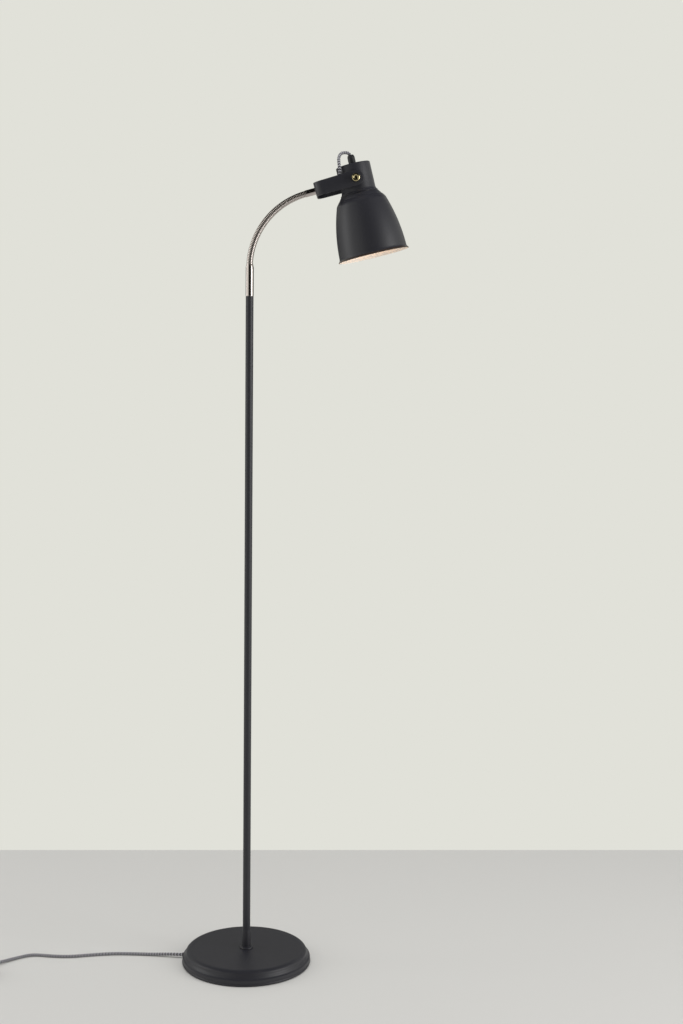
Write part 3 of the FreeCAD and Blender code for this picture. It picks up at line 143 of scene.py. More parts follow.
def woven_finish(name, length):
    """A two-tone zigzag braid for a cord of this length in metres."""
    material = new_finish(name, tone(96, 95, 99), 0.8)
    tree = material.node_tree
    place = tree.nodes.new("ShaderNodeTexCoord")
    split = tree.nodes.new("ShaderNodeSeparateXYZ")
    tree.links.new(place.outputs["UV"], split.inputs["Vector"])

    def math_node(operation, first, second):
        node = tree.nodes.new("ShaderNodeMath")
        node.operation = operation
        for socket, value in zip(node.inputs, (first, second)):
            if isinstance(value, (int, float)):
                socket.default_value = value
            else:
                tree.links.new(value, socket)
        return node.outputs[0]

    def wave(distance):
        """From 0 to 1 and back over each whole step of the distance."""
        swing = math_node("SINE", math_node("MULTIPLY", distance, 2 * math.pi), 0)
        return math_node("ADD", math_node("MULTIPLY", swing, 0.5), 0.5)

    along = math_node("MULTIPLY", split.outputs["X"], length / (BAND_PITCH * MM))
    around = math_node("MULTIPLY", split.outputs["Y"], ZIGZAGS_AROUND)
    zigzag = math_node("MULTIPLY", math_node("PINGPONG", around, 0.5), ZIGZAG_HEIGHT)
    bands = wave(math_node("ADD", along, zigzag))
    threads = wave(math_node("MULTIPLY", math_node("SUBTRACT", along, zigzag), THREADS_PER_BAND))
    ramp = tree.nodes.new("ShaderNodeValToRGB")
    for stop, colour, position in zip(ramp.color_ramp.elements, (DARK_THREAD, PALE_THREAD), BAND_EDGE):
        stop.color = colour
        stop.position = position
    tree.links.new(bands, ramp.inputs["Fac"])
    shader = tree.nodes["Principled BSDF"]
    tree.links.new(ramp.outputs["Color"], shader.inputs["Base Color"])
    bump = tree.nodes.new("ShaderNodeBump")
    bump.inputs["Distance"].default_value = THREAD_RELIEF * MM
    tree.links.new(threads, bump.inputs["Height"])
    tree.links.new(bump.outputs["Normal"], shader.inputs["Normal"])
    return material


# %% [markdown]
# Almost every piece is turned on a lathe or spun from sheet, so one helper does most of the modelling: draw
# half a section with a few points, round its corners, and spin it.  A closed section gives a shell with a
# real wall.

# %% Helper: keep a mesh
CREASE = 32


def keep_mesh(name, shape, finish, crease=CREASE):
    """Makes the object for a finished mesh, smooth across gentle angles and sharp across creases."""
    mesh = bpy.data.meshes.new(name)
    shape.to_mesh(mesh)
    shape.free()
    mesh.shade_smooth()
    mesh.set_sharp_from_angle(angle=math.radians(crease))
    piece = bpy.data.objects.new(name, mesh)
    bpy.context.scene.collection.objects.link(piece)
    mesh.materials.append(finish)
    return piece


# %% Helpers: arcs and rounds in a section
def bow(start, end, radius, steps, side=1):
    """Points on the short arc from start to end; side 1 bows it to the right of the way it goes."""
    start, end = Vector(start), Vector(end)
    chord = end - start
    right = Vector((chord.y, -chord.x)).normalized() * side
    middle = (start + end) / 2
    centre = middle - right * math.sqrt(radius ** 2 - chord.length ** 2 / 4)
    first = start - centre
    sweep = first.angle_signed(end - centre)
    points = []
    for step in range(1, steps + 1):
        turn = Matrix.Rotation(-sweep * step / steps, 2)
        points.append(tuple(centre + turn @ first))
    return points


MOST_OF_EDGE = 0.45


def rounded(section, radius, steps=3):
    """The section with a round on each corner that has a third value, which is its share of the radius."""
    outline = []
    count = len(section)
    for index, corner in enumerate(section):
        if len(corner) < 3:
            outline.append(tuple(corner))
            continue
        here = Vector(corner[:2])
        before = Vector(section[index - 1][:2]) - here
        after = Vector(section[(index + 1) % count][:2]) - here
        reach = min(radius * corner[2], before.length * MOST_OF_EDGE, after.length * MOST_OF_EDGE)
        start, end = here + before.normalized() * reach, here + after.normalized() * reach
        for step in range(steps + 1):
            share = step / steps
            outline.append(tuple(start.lerp(here, share).lerp(here.lerp(end, share), share)))
    return outline


# %% Helpers: spin a section, and say what a piece rides on and stands for
def spin(name, section, finish, place=Matrix(), steps=96, crease=CREASE, closed=True):
    """Spins half a section of (radius, height) in millimetres round its upright axis."""
    shape = bmesh.new()
    ring = [shape.verts.new((radius * MM, 0, height * MM)) for radius, height in section]
    following = ring[1:] + ring[:1] if closed else ring[1:]
    edges = [shape.edges.new(pair) for pair in zip(ring, following)]
    bmesh.ops.spin(shape, geom=ring + edges, cent=(0, 0, 0), axis=(0, 0, 1), angle=2 * math.pi,
                   steps=steps, use_merge=True)
    bmesh.ops.remove_doubles(shape, verts=shape.verts, dist=1e-6)
    bmesh.ops.recalc_face_normals(shape, faces=shape.faces)
    bmesh.ops.transform(shape, matrix=place, verts=shape.verts)
    return keep_mesh(name, shape, finish, crease)


def stand_for(piece, body, slot, *replaced):
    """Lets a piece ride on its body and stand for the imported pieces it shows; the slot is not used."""
    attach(piece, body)
    if replaced:
        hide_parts(*replaced)
    return piece


# %% [markdown]
# The base is one pressed dish over a cast weight.  Its edge tells the process: a soft shoulder, a short
# step, a hollow flare and a rolled lip with a fine groove above it.  The groove and lip are only a
# millimetre high but catch a thin line of light all the way round, so they are drawn in the section.

# %% The base cover
BASE_TOP = 26.5
STUD_HOLE = 4.3
cover_section = [(STUD_HOLE, BASE_TOP), (60.0, BASE_TOP), (100.5, BASE_TOP)]
cover_section += bow((103.5, BASE_TOP), (112.8, 22.0), 11.86, 8, -1)
cover_section += [(113.0, 20.75)]
cover_section += bow((113.0, 20.75), (119.5, 11.5), 14.0, 8)
cover_section += [(119.75, 10.2), (119.8, 6.5), (119.45, 6.35), (119.45, 5.0)]
cover_section += bow((119.45, 5.0), (119.45, 0.8), 2.62, 8, -1)
cover_section += [(118.8, 0.8), (118.8, 6.5), (118.5, 11.2), (112.0, 20.3), (103.5, 25.5),
                  (STUD_HOLE, 25.5)]
base_cover = spin("base_cover_shell", cover_section, powder_coat, steps=160, crease=40)
stand_for(base_cover, "stand", "black_coat", "base_cover")
print("base cover", len(base_cover.data.polygons), "faces")

# %% [markdown]
# The pole stands in a small turned collar and a tapered sleeve.  Their edges are broken with a file on the
# real lamp, and a tiny round on each corner does the same here: without it the edge shows no highlight.

# %% Collar, sleeve and pole
POLE_BOTTOM, POLE_TOP = 30.5, 1243.01
POLE_RADIUS, POLE_BORE = 7.0, 5.8
SLEEVE_BORE, SLEEVE_TOP = 7.05, POLE_BOTTOM + 32.0
collar_section = rounded([(STUD_HOLE, BASE_TOP), (12.5, BASE_TOP), (12.5, 28.5, 1), (10.5, POLE_BOTTOM, 1),
                          (STUD_HOLE, POLE_BOTTOM)], radius=0.7)
stand_for(spin("foot_collar_shell", collar_section, powder_coat), "stand", "black_coat", "foot_collar")
sleeve_section = rounded([(SLEEVE_BORE, POLE_BOTTOM), (8.2, POLE_BOTTOM), (7.5, SLEEVE_TOP, 1),
                          (SLEEVE_BORE, SLEEVE_TOP)], radius=0.4)
foot_sleeve = spin("foot_sleeve_shell", sleeve_section, powder_coat, steps=64)
stand_for(foot_sleeve, "stand", "black_coat", "foot_sleeve")
pole_ring = [(POLE_BORE, POLE_BOTTOM), (POLE_RADIUS, POLE_BOTTOM),
             (POLE_RADIUS, POLE_TOP), (POLE_BORE, POLE_TOP)]
pole = spin("pole_tube", pole_ring, powder_coat, steps=64)
stand_for(pole, "stand", "black_coat", "pole_lower", "pole_middle", "pole_upper")
print("pole", POLE_TOP - POLE_BOTTOM, "mm long")

# %% [markdown]
# Every point of the neck is on two arcs, so one function gives its place and heading at any distance along.
# The hose is spun straight, as it leaves the winding machine, and each of its points is then carried to its
# place on the bent line.

# %% The neck's line
LOW_BEND, LOW_TURN = 95.0, math.radians(10)
HIGH_BEND, HIGH_TURN = 138.0, math.radians(64)
NECK_BOTTOM = POLE_TOP + 57.0
LOW_LENGTH = LOW_BEND * LOW_TURN
NECK_LENGTH = LOW_LENGTH + HIGH_BEND * HIGH_TURN
LINKS = 10
LINK = NECK_LENGTH / LINKS
RIBS_PER_LINK = 6
RIB = LINK / RIBS_PER_LINK


def arc_step(bend, start, end):
    """The step along an arc of this radius, from one lean to another."""
    return Vector((bend * (math.cos(start) - math.cos(end)), 0, bend * (math.sin(end) - math.sin(start))))


def on_neck(along):
    """The frame, in metres, of the neck's line this many millimetres along; straight past both ends."""
    inside = min(max(along, 0), NECK_LENGTH)
    lean = min(inside / LOW_BEND, LOW_TURN)
    point = Vector((0, 0, NECK_BOTTOM)) + arc_step(LOW_BEND, 0, lean)
    if inside > LOW_LENGTH:
        lean = LOW_TURN + (inside - LOW_LENGTH) / HIGH_BEND
        point += arc_step(HIGH_BEND, LOW_TURN, lean)
    heading = Matrix.Rotation(lean, 4, "Y")
    point += heading @ Vector((0, 0, along - inside))
    return Matrix.Translation(point * MM) @ heading


# %% [markdown]
# A turned ferrule holds each end of the hose in a shallow socket.  Both are spun like the collar.  The
# upper one sits at the end of the bent line, so it is spun upright and carried there by the line's own
# frame.

# %% Polished ferrules at both ends of the neck
HOSE_SOCKET, FERRULE_BORE = 5.8, 4.05
LOWER_SEAT = NECK_BOTTOM - 8.7
UPPER_LENGTH, UPPER_SEAT = 18.0, 5.8
lower_section = rounded([(FERRULE_BORE, POLE_TOP), (7.1, POLE_TOP, 1), (7.1, NECK_BOTTOM - 5.0, 1.5),
                         (6.3, NECK_BOTTOM, 1), (HOSE_SOCKET, NECK_BOTTOM), (HOSE_SOCKET, LOWER_SEAT),
                         (FERRULE_BORE, LOWER_SEAT)], radius=0.8)
lower_ferrule = spin("lower_ferrule_shell", lower_section, nickel, steps=64)
stand_for(lower_ferrule, "stand", "polished_nickel", "lower_ferrule")
upper_section = rounded([(HOSE_SOCKET, 0), (6.25, 0, 0.6), (6.25, UPPER_LENGTH),
                         (FERRULE_BORE, UPPER_LENGTH), (FERRULE_BORE, UPPER_SEAT),
                         (HOSE_SOCKET, UPPER_SEAT)], radius=0.6)
upper_ferrule = spin("upper_ferrule_shell", upper_section, nickel, on_neck(NECK_LENGTH), steps=64)
stand_for(upper_ferrule, "arm", "polished_nickel", "upper_ferrule")
print("ferrules", round(NECK_BOTTOM - POLE_TOP, 1), "and", UPPER_LENGTH, "mm long")

# %% [markdown]
# On the real neck a strip of steel is wound over itself, so the whole length bends a little everywhere.
# Here ten hinges share the bend.  The hose is cut in the middle of each link, where nothing bends, and
# each length holds the one hinge in its middle.

# %% Helper: one straight ribbed length, bent on to the neck
HOSE_CREST, HOSE_VALLEY, HOSE_BORE = 5.75, 5.3, 3.6
RIB_SHAPE = ((0.0, 0.0), (0.07, 0.6), (0.2, 0.93), (0.5, 1.0), (0.8, 0.93), (0.93, 0.6))
HINGE_SPREAD = 0.42


def hose_length(name, start, ribs):
    """A straight ribbed tube from start, this many ribs long, bent on to the neck's line."""
    section = [(HOSE_VALLEY + (HOSE_CREST - HOSE_VALLEY) * rise, start + (rib + share) * RIB)
               for rib in range(ribs) for share, rise in RIB_SHAPE]
    section.append((HOSE_VALLEY, start + ribs * RIB))
    section += [(HOSE_BORE, start + rib * RIB) for rib in range(ribs, -1, -1)]
    piece = spin(name, section, nickel, steps=40, crease=75)
    for vertex in piece.data.vertices:
        across = Vector((vertex.co.x, vertex.co.y, 0))
        vertex.co = on_neck(vertex.co.z / MM) @ across
    return piece


# %% The ribbed hose, one length for each hinge
RIBS_IN_LOWER_FERRULE, RIBS_IN_UPPER_FERRULE = 3, 2
for link in range(1, LINKS + 1):
    extra_below = RIBS_IN_LOWER_FERRULE if link == 1 else 0
    extra_above = RIBS_IN_UPPER_FERRULE if link == LINKS else 0
    length = hose_length(f"hose_length_{link}", (link - 1) * LINK - extra_below * RIB,
                         RIBS_PER_LINK + extra_below + extra_above)
    hinge = (link - 0.5) * LINK
    on_neck(hinge + HINGE_SPREAD * LINK).translation
    on_neck(hinge - HINGE_SPREAD * LINK).translation
    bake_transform(length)
    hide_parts(f"hose_{link:02d}", *(["hose_00", "neck_cord"] if link == 1 else []))
print("neck", round(NECK_LENGTH, 1), "mm in", LINKS, "lengths")

# %% [markdown]
# The strap is flat bar, bent twice into a U.  It is easiest to make as the bar is cut: a ribbon that follows
# the bent line, a little wider towards the pivot and round at its ends, given its thickness last.

# %% The strap's line and width
STRAP_REACH, STRAP_HALF, STRAP_THICK, STRAP_CORNER = 75.5, 31.9, 2.0, 14.0
BEND_HALF_WIDTH, END_RADIUS = 12.25, 13.5
strap_place = on_neck(NECK_LENGTH + UPPER_LENGTH) @ Matrix.Rotation(math.radians(-90), 4, "Y")
PIVOT = Vector(joints["head_tilt"]["pos_m"])


def strap_half_width(reach):
    """Half the bar's width this far from the bend."""
    if reach > STRAP_REACH:
        return math.sqrt(max(END_RADIUS ** 2 - (reach - STRAP_REACH) ** 2, 0.01))
    return BEND_HALF_WIDTH + (END_RADIUS - BEND_HALF_WIDTH) * reach / STRAP_REACH


def strap_line():
    """The outer face of the bar seen from above, from one end round the bend to the other."""
    outer = STRAP_HALF + STRAP_THICK
    half = [(STRAP_REACH + END_RADIUS * math.sin(math.radians(turn)), outer)
            for turn in range(84, 0, -12)]
    half += [(reach, outer) for reach in (STRAP_REACH, 55.0, 35.0)]
    for turn in range(0, 91, 9):
        half.append((STRAP_CORNER * (1 - math.sin(math.radians(turn))),
                     outer - STRAP_CORNER * (1 - math.cos(math.radians(turn)))))
    half.append((0.0, 8.0))
    return half + [(reach, -across) for reach, across in reversed(half)]


# %% The strap: a ribbon, its thickness and its broken edges
STRAP_EDGE_ANGLE, STRAP_EDGE_ROUND = 50, 0.35
shape = bmesh.new()
line = [shape.verts.new((reach * MM, across * MM, 0)) for reach, across in strap_line()]
bar = [shape.edges.new(pair) for pair in zip(line, line[1:])]
above = bmesh.ops.extrude_edge_only(shape, edges=bar)
for vertex in [item for item in above["geom"] if isinstance(item, bmesh.types.BMVert)]:
    vertex.co.z = strap_half_width(vertex.co.x / MM) * MM
for vertex in line:
    vertex.co.z = -strap_half_width(vertex.co.x / MM) * MM
bmesh.ops.recalc_face_normals(shape, faces=shape.faces)
middle_face = min(shape.faces, key=lambda face: face.calc_center_median().x)
if middle_face.normal.x > 0:
    bmesh.ops.reverse_faces(shape, faces=shape.faces)
bmesh.ops.solidify(shape, geom=shape.faces[:], thickness=STRAP_THICK * MM)
bmesh.ops.recalc_face_normals(shape, faces=shape.faces)
rims = [edge for edge in shape.edges
        if edge.is_manifold and edge.calc_face_angle(0) > math.radians(STRAP_EDGE_ANGLE)]
bmesh.ops.bevel(shape, geom=rims, offset=STRAP_EDGE_ROUND * MM, offset_type="OFFSET", segments=2, profile=0.5,
                affect="EDGES", material=-1)
bmesh.ops.transform(shape, matrix=strap_place, verts=shape.verts)
strap = keep_mesh("strap_bar", shape, powder_coat, crease=STRAP_EDGE_ANGLE)
stand_for(strap, "arm", "black_coat", "bracket")
print("strap", len(rims), "edges broken")

# %% [markdown]
# The head leans a little, so its cap, shade and grip are spun upright with heights that run down from the
# top of the cap, and one matrix sets them all at the pivot.

# %% The cap
HEAD_TILT = math.radians(14)
PIVOT_DEPTH = 26.8
head_place = (Matrix.Translation(PIVOT) @ Matrix.Rotation(math.pi - HEAD_TILT, 4, "Y")
              @ Matrix.Translation((0, 0, -PIVOT_DEPTH * MM)))
cap_section = [(5.1, 0), (20.0, 0), (29.1, 0)]
cap_section += bow((29.1, 0), (30.9, 1.8), 1.8, 5)
cap_section += [(30.9, 20.0)]
cap_section += bow((30.9, 44.5), (33.9, 51.3), 9.2, 8, -1)
cap_section += [(33.9, 51.7), (32.7, 51.7)]
cap_section += bow((32.7, 51.2), (29.7, 44.5), 9.2, 6)
cap_section += [(29.7, 2.0), (28.9, 1.2), (5.1, 1.2)]
head_cap = spin("head_cap_shell", cap_section, powder_coat, head_place, steps=96, crease=38)
stand_for(head_cap, "head", "black_coat", "head_cap")
print("cap", len(head_cap.data.polygons), "faces")

# %% [markdown]
# The shade is spun from sheet: two small creases under the cap, a shoulder, one long easy curve, and a lip
# that turns out to a bead.  The inside is the same line one wall thinner, so both are drawn in one closed
# section.  Inside it is sprayed white, and the bead is given a dark brown, which shows as a thin brown
# line.

# %% The shade
SHADE_WALL = 1.0
LINING_TOP, RIM_TOP = 52.9, 161.5
CREASE_POINTS = 9
shade_outside = [(29.5, 45.0), (29.5, 50.6), (32.4, 51.75), (32.6, 52.9), (34.4, 53.2), (38.5, 58.5),
                 (38.7, 59.5), (40.1, 60.1), (44.2, 65.5)]
shade_outside += bow((44.2, 65.5), (46.0, 70.0), 14.5, 5)
shade_outside += bow((46.0, 70.0), (61.3, 156.5), 306.0, 24)
shade_outside += bow((61.3, 156.5), (64.0, 163.2), 9.0, 6, -1)
rim_bead = [(64.4, 163.6), (64.45, 164.1), (64.1, 164.5), (63.4, 164.5)]
shade_inside = [(radius - SHADE_WALL, depth) for radius, depth in reversed(shade_outside[CREASE_POINTS:])]
shade_inside += [(43.2, 65.5), (39.0, 60.6), (37.4, 59.2), (33.2, 54.0), (31.5, 53.7), (31.4, 52.75),
                 (28.5, 51.6), (28.5, 45.0)]
shade = spin("shade_bell", shade_outside + rim_bead + shade_inside, powder_coat, head_place,
             steps=128, crease=38)
stand_for(shade, "head", "shade_coat", "shade")
shade.data.materials.append(shade_white)
shade.data.materials.append(rim_brown)

# %% The lining inside the shade, and the brown bead on its rim
INWARD = -0.05
to_head = head_place.inverted()
for face in shade.data.polygons:
    centre = to_head @ face.center
    outward = (to_head.to_3x3() @ face.normal) @ Vector((centre.x, centre.y, 0)).normalized()
    if outward < INWARD and centre.z > LINING_TOP * MM:
        face.material_index = 1
    elif centre.z > RIM_TOP * MM:
        face.material_index = 2
print("shade", len(shade.data.polygons), "faces")

# %% [markdown]
# A moulded grip holds the cord where it enters the cap.  It stands above the cap, so its heights are below
# zero on the head's axis, and its mouth opens a little so that the cord can bend.

# %% The cord grip on the cap
GRIP_TOP, GRIP_SEAT, GRIP_BORE = -17.5, -8.2, 2.85
grip_section = rounded([(5.05, 0), (6.0, 0), (6.0, -2.0), (6.6, -3.5, 1), (6.6, -14.0, 2), (5.0, GRIP_TOP, 1),
                        (4.3, GRIP_TOP, 0.6), (GRIP_BORE, -13.5), (GRIP_BORE, GRIP_SEAT),
                        (5.05, GRIP_SEAT)], radius=0.8)
grip = spin("cord_grip_shell", grip_section, black_plastic, head_place, steps=48)
stand_for(grip, "head", "grip_plastic", "cord_grip")
print("grip", len(grip.data.polygons), "faces")

# %% [markdown]
# A thumb screw is turned brass with a straight knurl.  The knurl is thirty grooves round the head: the spun
# rim has four points to a groove, and those in the groove are drawn in a little towards the axis.

# %% The two thumb screws
KNURLS, KNURL_DEPTH, KNURLED_PAST = 30, 0.05, 6.9
screw_section = rounded([(0, 23.5), (2.5, 23.5), (2.5, 34.2), (5.5, 34.2), (5.5, 35.4, 0.5), (6.5, 35.4),
                         (7.1, 36.0), (7.1, 39.4), (7.1, 41.8), (6.7, 42.7), (5.8, 43.3), (4.8, 43.35),
                         (3.9, 43.1), (3.3, 42.6), (0, 42.5)], radius=0.4)
for side, outward in (("near", 1), ("far", -1)):
    place = Matrix.Translation(PIVOT) @ Matrix.Rotation(math.radians(90) * outward, 4, "X")
    screw = spin(f"thumb_screw_{side}_turned", screw_section, brass, Matrix(), steps=KNURLS * 4,
                 crease=30, closed=False)
    for vertex in screw.data.vertices:
        if vertex.co.xy.length > KNURLED_PAST * MM:
            turn = math.atan2(vertex.co.y, vertex.co.x) * KNURLS
            vertex.co.xy *= 1 - KNURL_DEPTH * (0.5 - 0.5 * math.cos(turn))
    screw.data.transform(place)
    stand_for(screw, f"screw_{side}", "screw_brass", f"thumb_screw_{side}")
    print("thumb screw", side, len(screw.data.polygons), "faces")

# %% [markdown]
# The cord to the lampholder makes a short loop: up out of the grip, over, and down past the cap to the end
# of the neck.  It bends when the head tilts, so it is one tube from the grip on the head to the bush on the
# strap.  A curve keeps a cord round through any bend, where a chain of cylinders would show
# its joints.

# %% Helpers: a cord's curve, and a tube made from it
def cord_curve(name, points, finish):
    """A round cord on one smooth spline whose control points these are, in millimetres."""
    curve = bpy.data.curves.new(name, "CURVE")
    curve.dimensions = "3D"
    curve.bevel_depth = CORD_RADIUS * MM
    curve.bevel_resolution = 5
    curve.resolution_u = 8
    curve.use_fill_caps = True
    spline = curve.splines.new("NURBS")
    spline.points.add(len(points) - 1)
    for control, point in zip(spline.points, points):
        control.co = (*(Vector(point) * MM), 1)
    spline.order_u = 3
    spline.use_endpoint_u = True
    curve.materials.append(finish)
    piece = bpy.data.objects.new(name, curve)
    bpy.context.scene.collection.objects.link(piece)
    return piece


def as_tube(piece):
    """The mesh of a cord's curve, in place of the curve."""
    bpy.context.view_layer.update()
    settings = bpy.context.evaluated_depsgraph_get()
    mesh = bpy.data.meshes.new_from_object(piece.evaluated_get(settings))
    name, curve = piece.name, piece.data
    bpy.data.objects.remove(piece)
    bpy.data.curves.remove(curve)
    tube = bpy.data.objects.new(name, mesh)
    bpy.context.scene.collection.objects.link(tube)
    return tube


# %% The short loop over the head
HEAD_CORD_LENGTH = 0.124
IN_GRIP, OUT_OF_GRIP = -10.0, 9.8
BUSH_END, OUT_OF_BUSH = 10.0, 9.5


def on_head_axis(depth):
    """The point this far down the head's axis, in millimetres."""
    return head_place @ Vector((0, 0, depth * MM)) / MM


grip_up = head_place.to_3x3() @ Vector((0, 0, -1))
strap_forward = strap_place.to_3x3() @ Vector((1, 0, 0))
bush_end = strap_place @ Vector((BUSH_END * MM, 0, 0)) / MM
loop_start = on_head_axis(IN_GRIP)
from_pivot = [
    (-18.6, -4.5, 47.0), (-26.6, -10.5, 45.2), (-30.8, -17.5, 38.6), (-31.0, -23.0, 29.6),
    (-29.6, -26.2, 20.0), (-28.8, -26.4, 10.2), (-30.6, -23.0, 1.2), (-36.0, -15.8, -6.4),
    (-44.0, -6.6, -11.8),
]
loop_points = [loop_start, loop_start + grip_up * OUT_OF_GRIP]
loop_points += [PIVOT / MM + Vector(point) for point in from_pivot]
loop_points += [bush_end + strap_forward * OUT_OF_BUSH, bush_end]
head_cord = as_tube(cord_curve("head_cord_loop", loop_points, woven_finish("woven loop", HEAD_CORD_LENGTH)))
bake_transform(head_cord)
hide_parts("head_cord")
print("loop", len(head_cord.data.polygons), "faces, maps", [layer.name for layer in head_cord.data.uv_layers])

# %% [markdown]
# The mains cord is a real length of heavy, stiff cord, so it lies in long easy bends.  Its route is the one
# that the solids follow: out of the grommet, down to the floor, and along to the foot switch.

# %% From the base to the foot switch
EXIT_TURN = math.radians(4.5)
EXIT_RADIUS, EXIT_HEIGHT, STRAIGHT_OUT = 122.5, 6.2, 22.0
SWITCH_HEADING = Vector((-0.30, -0.954, 0)).normalized()
INTO_SWITCH = 24.0
RUN_LENGTH = 0.3916
leave = Vector((-math.cos(EXIT_TURN), math.sin(EXIT_TURN), 0))
exit_point = leave * EXIT_RADIUS + Vector((0, 0, EXIT_HEIGHT))
route_to_switch = [
    exit_point, exit_point + leave * STRAIGHT_OUT,
    (-181.0, 15.6, 3.2), (-217.0, 17.6, 2.85), (-259.0, 16.4, 2.85), (-300.0, 7.2, 2.85),
    (-338.0, -3.0, 2.85), (-374.0, -0.4, 2.85), (-407.5, 5.0, 2.85), (-431.5, -12.5, 2.85),
    (-449.5, -28.5, 3.4), (-466.0, -50.0, 6.0),
]
switch_start = Vector(route_to_switch[-1]) + SWITCH_HEADING * INTO_SWITCH
route_to_switch.append(switch_start)
cord_to_switch = cord_curve("mains_cord_to_switch", route_to_switch, woven_finish("woven cord", RUN_LENGTH))
stand_for(cord_to_switch, "stand", "cord_fabric", "cord_run_a")
print("cord to the switch", len(route_to_switch), "points")

# %% [markdown]
# The foot switch is two moulded halves, a base and a cover with a softer edge, and a round button in the
# cover that a foot presses.  Each half starts as a cube: its upright edges take a wide bevel and its rims a
# small one.

# %% Helper: one half of the foot switch
SWITCH_LENGTH, SWITCH_WIDTH, SWITCH_SPLIT, SWITCH_TOP = 56.0, 30.0, 8.0, 20.0
SPLIT_GAP = 0.15
CORNER_ROUND, COVER_ROUND, SMALL_ROUND = 9.0, 2.5, 0.4
CORD_IN_SWITCH = 6.0
switch_turn = Vector((1, 0)).angle_signed(SWITCH_HEADING.xy)
switch_place = (Matrix.Translation((switch_start - Vector((0, 0, CORD_IN_SWITCH))) * MM)
                @ Matrix.Rotation(-switch_turn, 4, "Z"))


def soft_block(name, bottom, top, top_round, finish):
    """A block with round corners in plan and a softer edge on top."""
    block = bmesh.new()
    bmesh.ops.create_cube(block, size=MM)
    bmesh.ops.scale(block, vec=(SWITCH_LENGTH, SWITCH_WIDTH, top - bottom), verts=block.verts)
    bmesh.ops.translate(block, vec=(SWITCH_LENGTH / 2 * MM, 0, (top + bottom) / 2 * MM), verts=block.verts)
    upright = [edge for edge in block.edges if abs(edge.verts[0].co.z - edge.verts[1].co.z) > 1e-6]
    bmesh.ops.bevel(block, geom=upright, offset=CORNER_ROUND * MM, offset_type="OFFSET", segments=8,
                    profile=0.5, affect="EDGES", material=-1)
    for height, size in ((top, top_round), (bottom, SMALL_ROUND)):
        rim = [edge for edge in block.edges if all(abs(v.co.z - height * MM) < 1e-6 for v in edge.verts)]
        bmesh.ops.bevel(block, geom=rim, offset=size * MM, offset_type="OFFSET", segments=4, profile=0.5,
                        affect="EDGES", material=-1)
    bmesh.ops.transform(block, matrix=switch_place, verts=block.verts)
    return keep_mesh(name, block, finish)


# %% The foot switch: base, cover and button
BUTTON_RADIUS, BUTTON_BOTTOM, BUTTON_TOP = 8.0, 16.3, 23.4
switch_base = soft_block("switch_base_shell", 0.0, SWITCH_SPLIT - SPLIT_GAP, SMALL_ROUND, gloss_plastic)
stand_for(switch_base, "stand", "switch_plastic", "switch_base")
switch_cover = soft_block("switch_cover_shell", SWITCH_SPLIT, SWITCH_TOP, COVER_ROUND, gloss_plastic)
stand_for(switch_cover, "stand", "switch_plastic", "switch_cover")
button_section = rounded([(0, BUTTON_BOTTOM), (BUTTON_RADIUS, BUTTON_BOTTOM), (BUTTON_RADIUS, BUTTON_TOP, 1),
                          (0, BUTTON_TOP)], radius=1.0)
button_place = switch_place @ Matrix.Translation((SWITCH_LENGTH / 2 * MM, 0, 0))
switch_button = spin("switch_button_cap", button_section, gloss_plastic, button_place, steps=48, closed=False)
stand_for(switch_button, "foot_button", "switch_plastic", "switch_button")
print("switch", len(switch_base.data.polygons) + len(switch_cover.data.polygons), "faces")

# %% [markdown]
# The rest of the cord is wound for storage: in along the floor, up a layer in half a turn, and out again on
# top, then down beside the coil to the plug.  A loop works out the points of the turns.  A spline with its
# control points on a circle runs a little inside it, so the points stand out by that little.

# %% Helper: a point of the coil
COIL_CENTRE = Vector((-554.0, -119.0, 0))
COIL_START, COIL_PITCH, COIL_RISE, COIL_FLOOR = 43.2, 6.2, 6.2, 4.4
TURNS_IN, CLIMB_TURNS, TURNS_OUT = 3.25, 0.5, 3.5
POINTS_PER_TURN = 16


def coil_point(turns):
    """The point of the coil this many turns in, climb being its share of the way up to the second layer."""
    smallest = COIL_START - COIL_PITCH * TURNS_IN
    climb = min(max((turns - TURNS_IN) / CLIMB_TURNS, 0), 1)
    if turns <= TURNS_IN:
        radius = COIL_START - COIL_PITCH * turns
    elif climb < 1:
        radius = smallest - COIL_PITCH / 2 * climb * (1 - climb)
    else:
        radius = smallest + COIL_PITCH * (turns - TURNS_IN - CLIMB_TURNS)
    radius /= math.cos(math.pi / POINTS_PER_TURN)
    height = COIL_FLOOR + COIL_RISE * climb * climb * (3 - 2 * climb)
    angle = -math.pi / 2 - 2 * math.pi * turns
    return COIL_CENTRE + Vector((radius * math.cos(angle), radius * math.sin(angle), height))


# %% From the switch into the coil and to the plug
PLUG_HEIGHT = 7.0
OUT_OF_SWITCH = 17.0
COIL_LENGTH = 1.608
switch_end = switch_start + SWITCH_HEADING * SWITCH_LENGTH
route_to_plug = [switch_end, switch_end + SWITCH_HEADING * OUT_OF_SWITCH,
                 (-506.4, -155.2, 4.9), (-521.9, -162.2, 4.4)]
total_turns = TURNS_IN + CLIMB_TURNS + TURNS_OUT
coil_points = round(total_turns * POINTS_PER_TURN)
route_to_plug += [coil_point(total_turns * (index + 0.5) / coil_points) for index in range(coil_points)]
coil_end = COIL_CENTRE + Vector((-(COIL_START + COIL_PITCH * 0.25), 0, COIL_FLOOR + COIL_RISE))
down_to_plug = PLUG_HEIGHT - coil_end.z
route_to_plug += [coil_end + Vector((0, ahead, drop))
                  for ahead, drop in ((1.5, 0), (11.0, 0), (19.0, down_to_plug), (31.0, down_to_plug))]
cord_to_plug = cord_curve("mains_cord_coil", route_to_plug, woven_finish("woven coil", COIL_LENGTH))
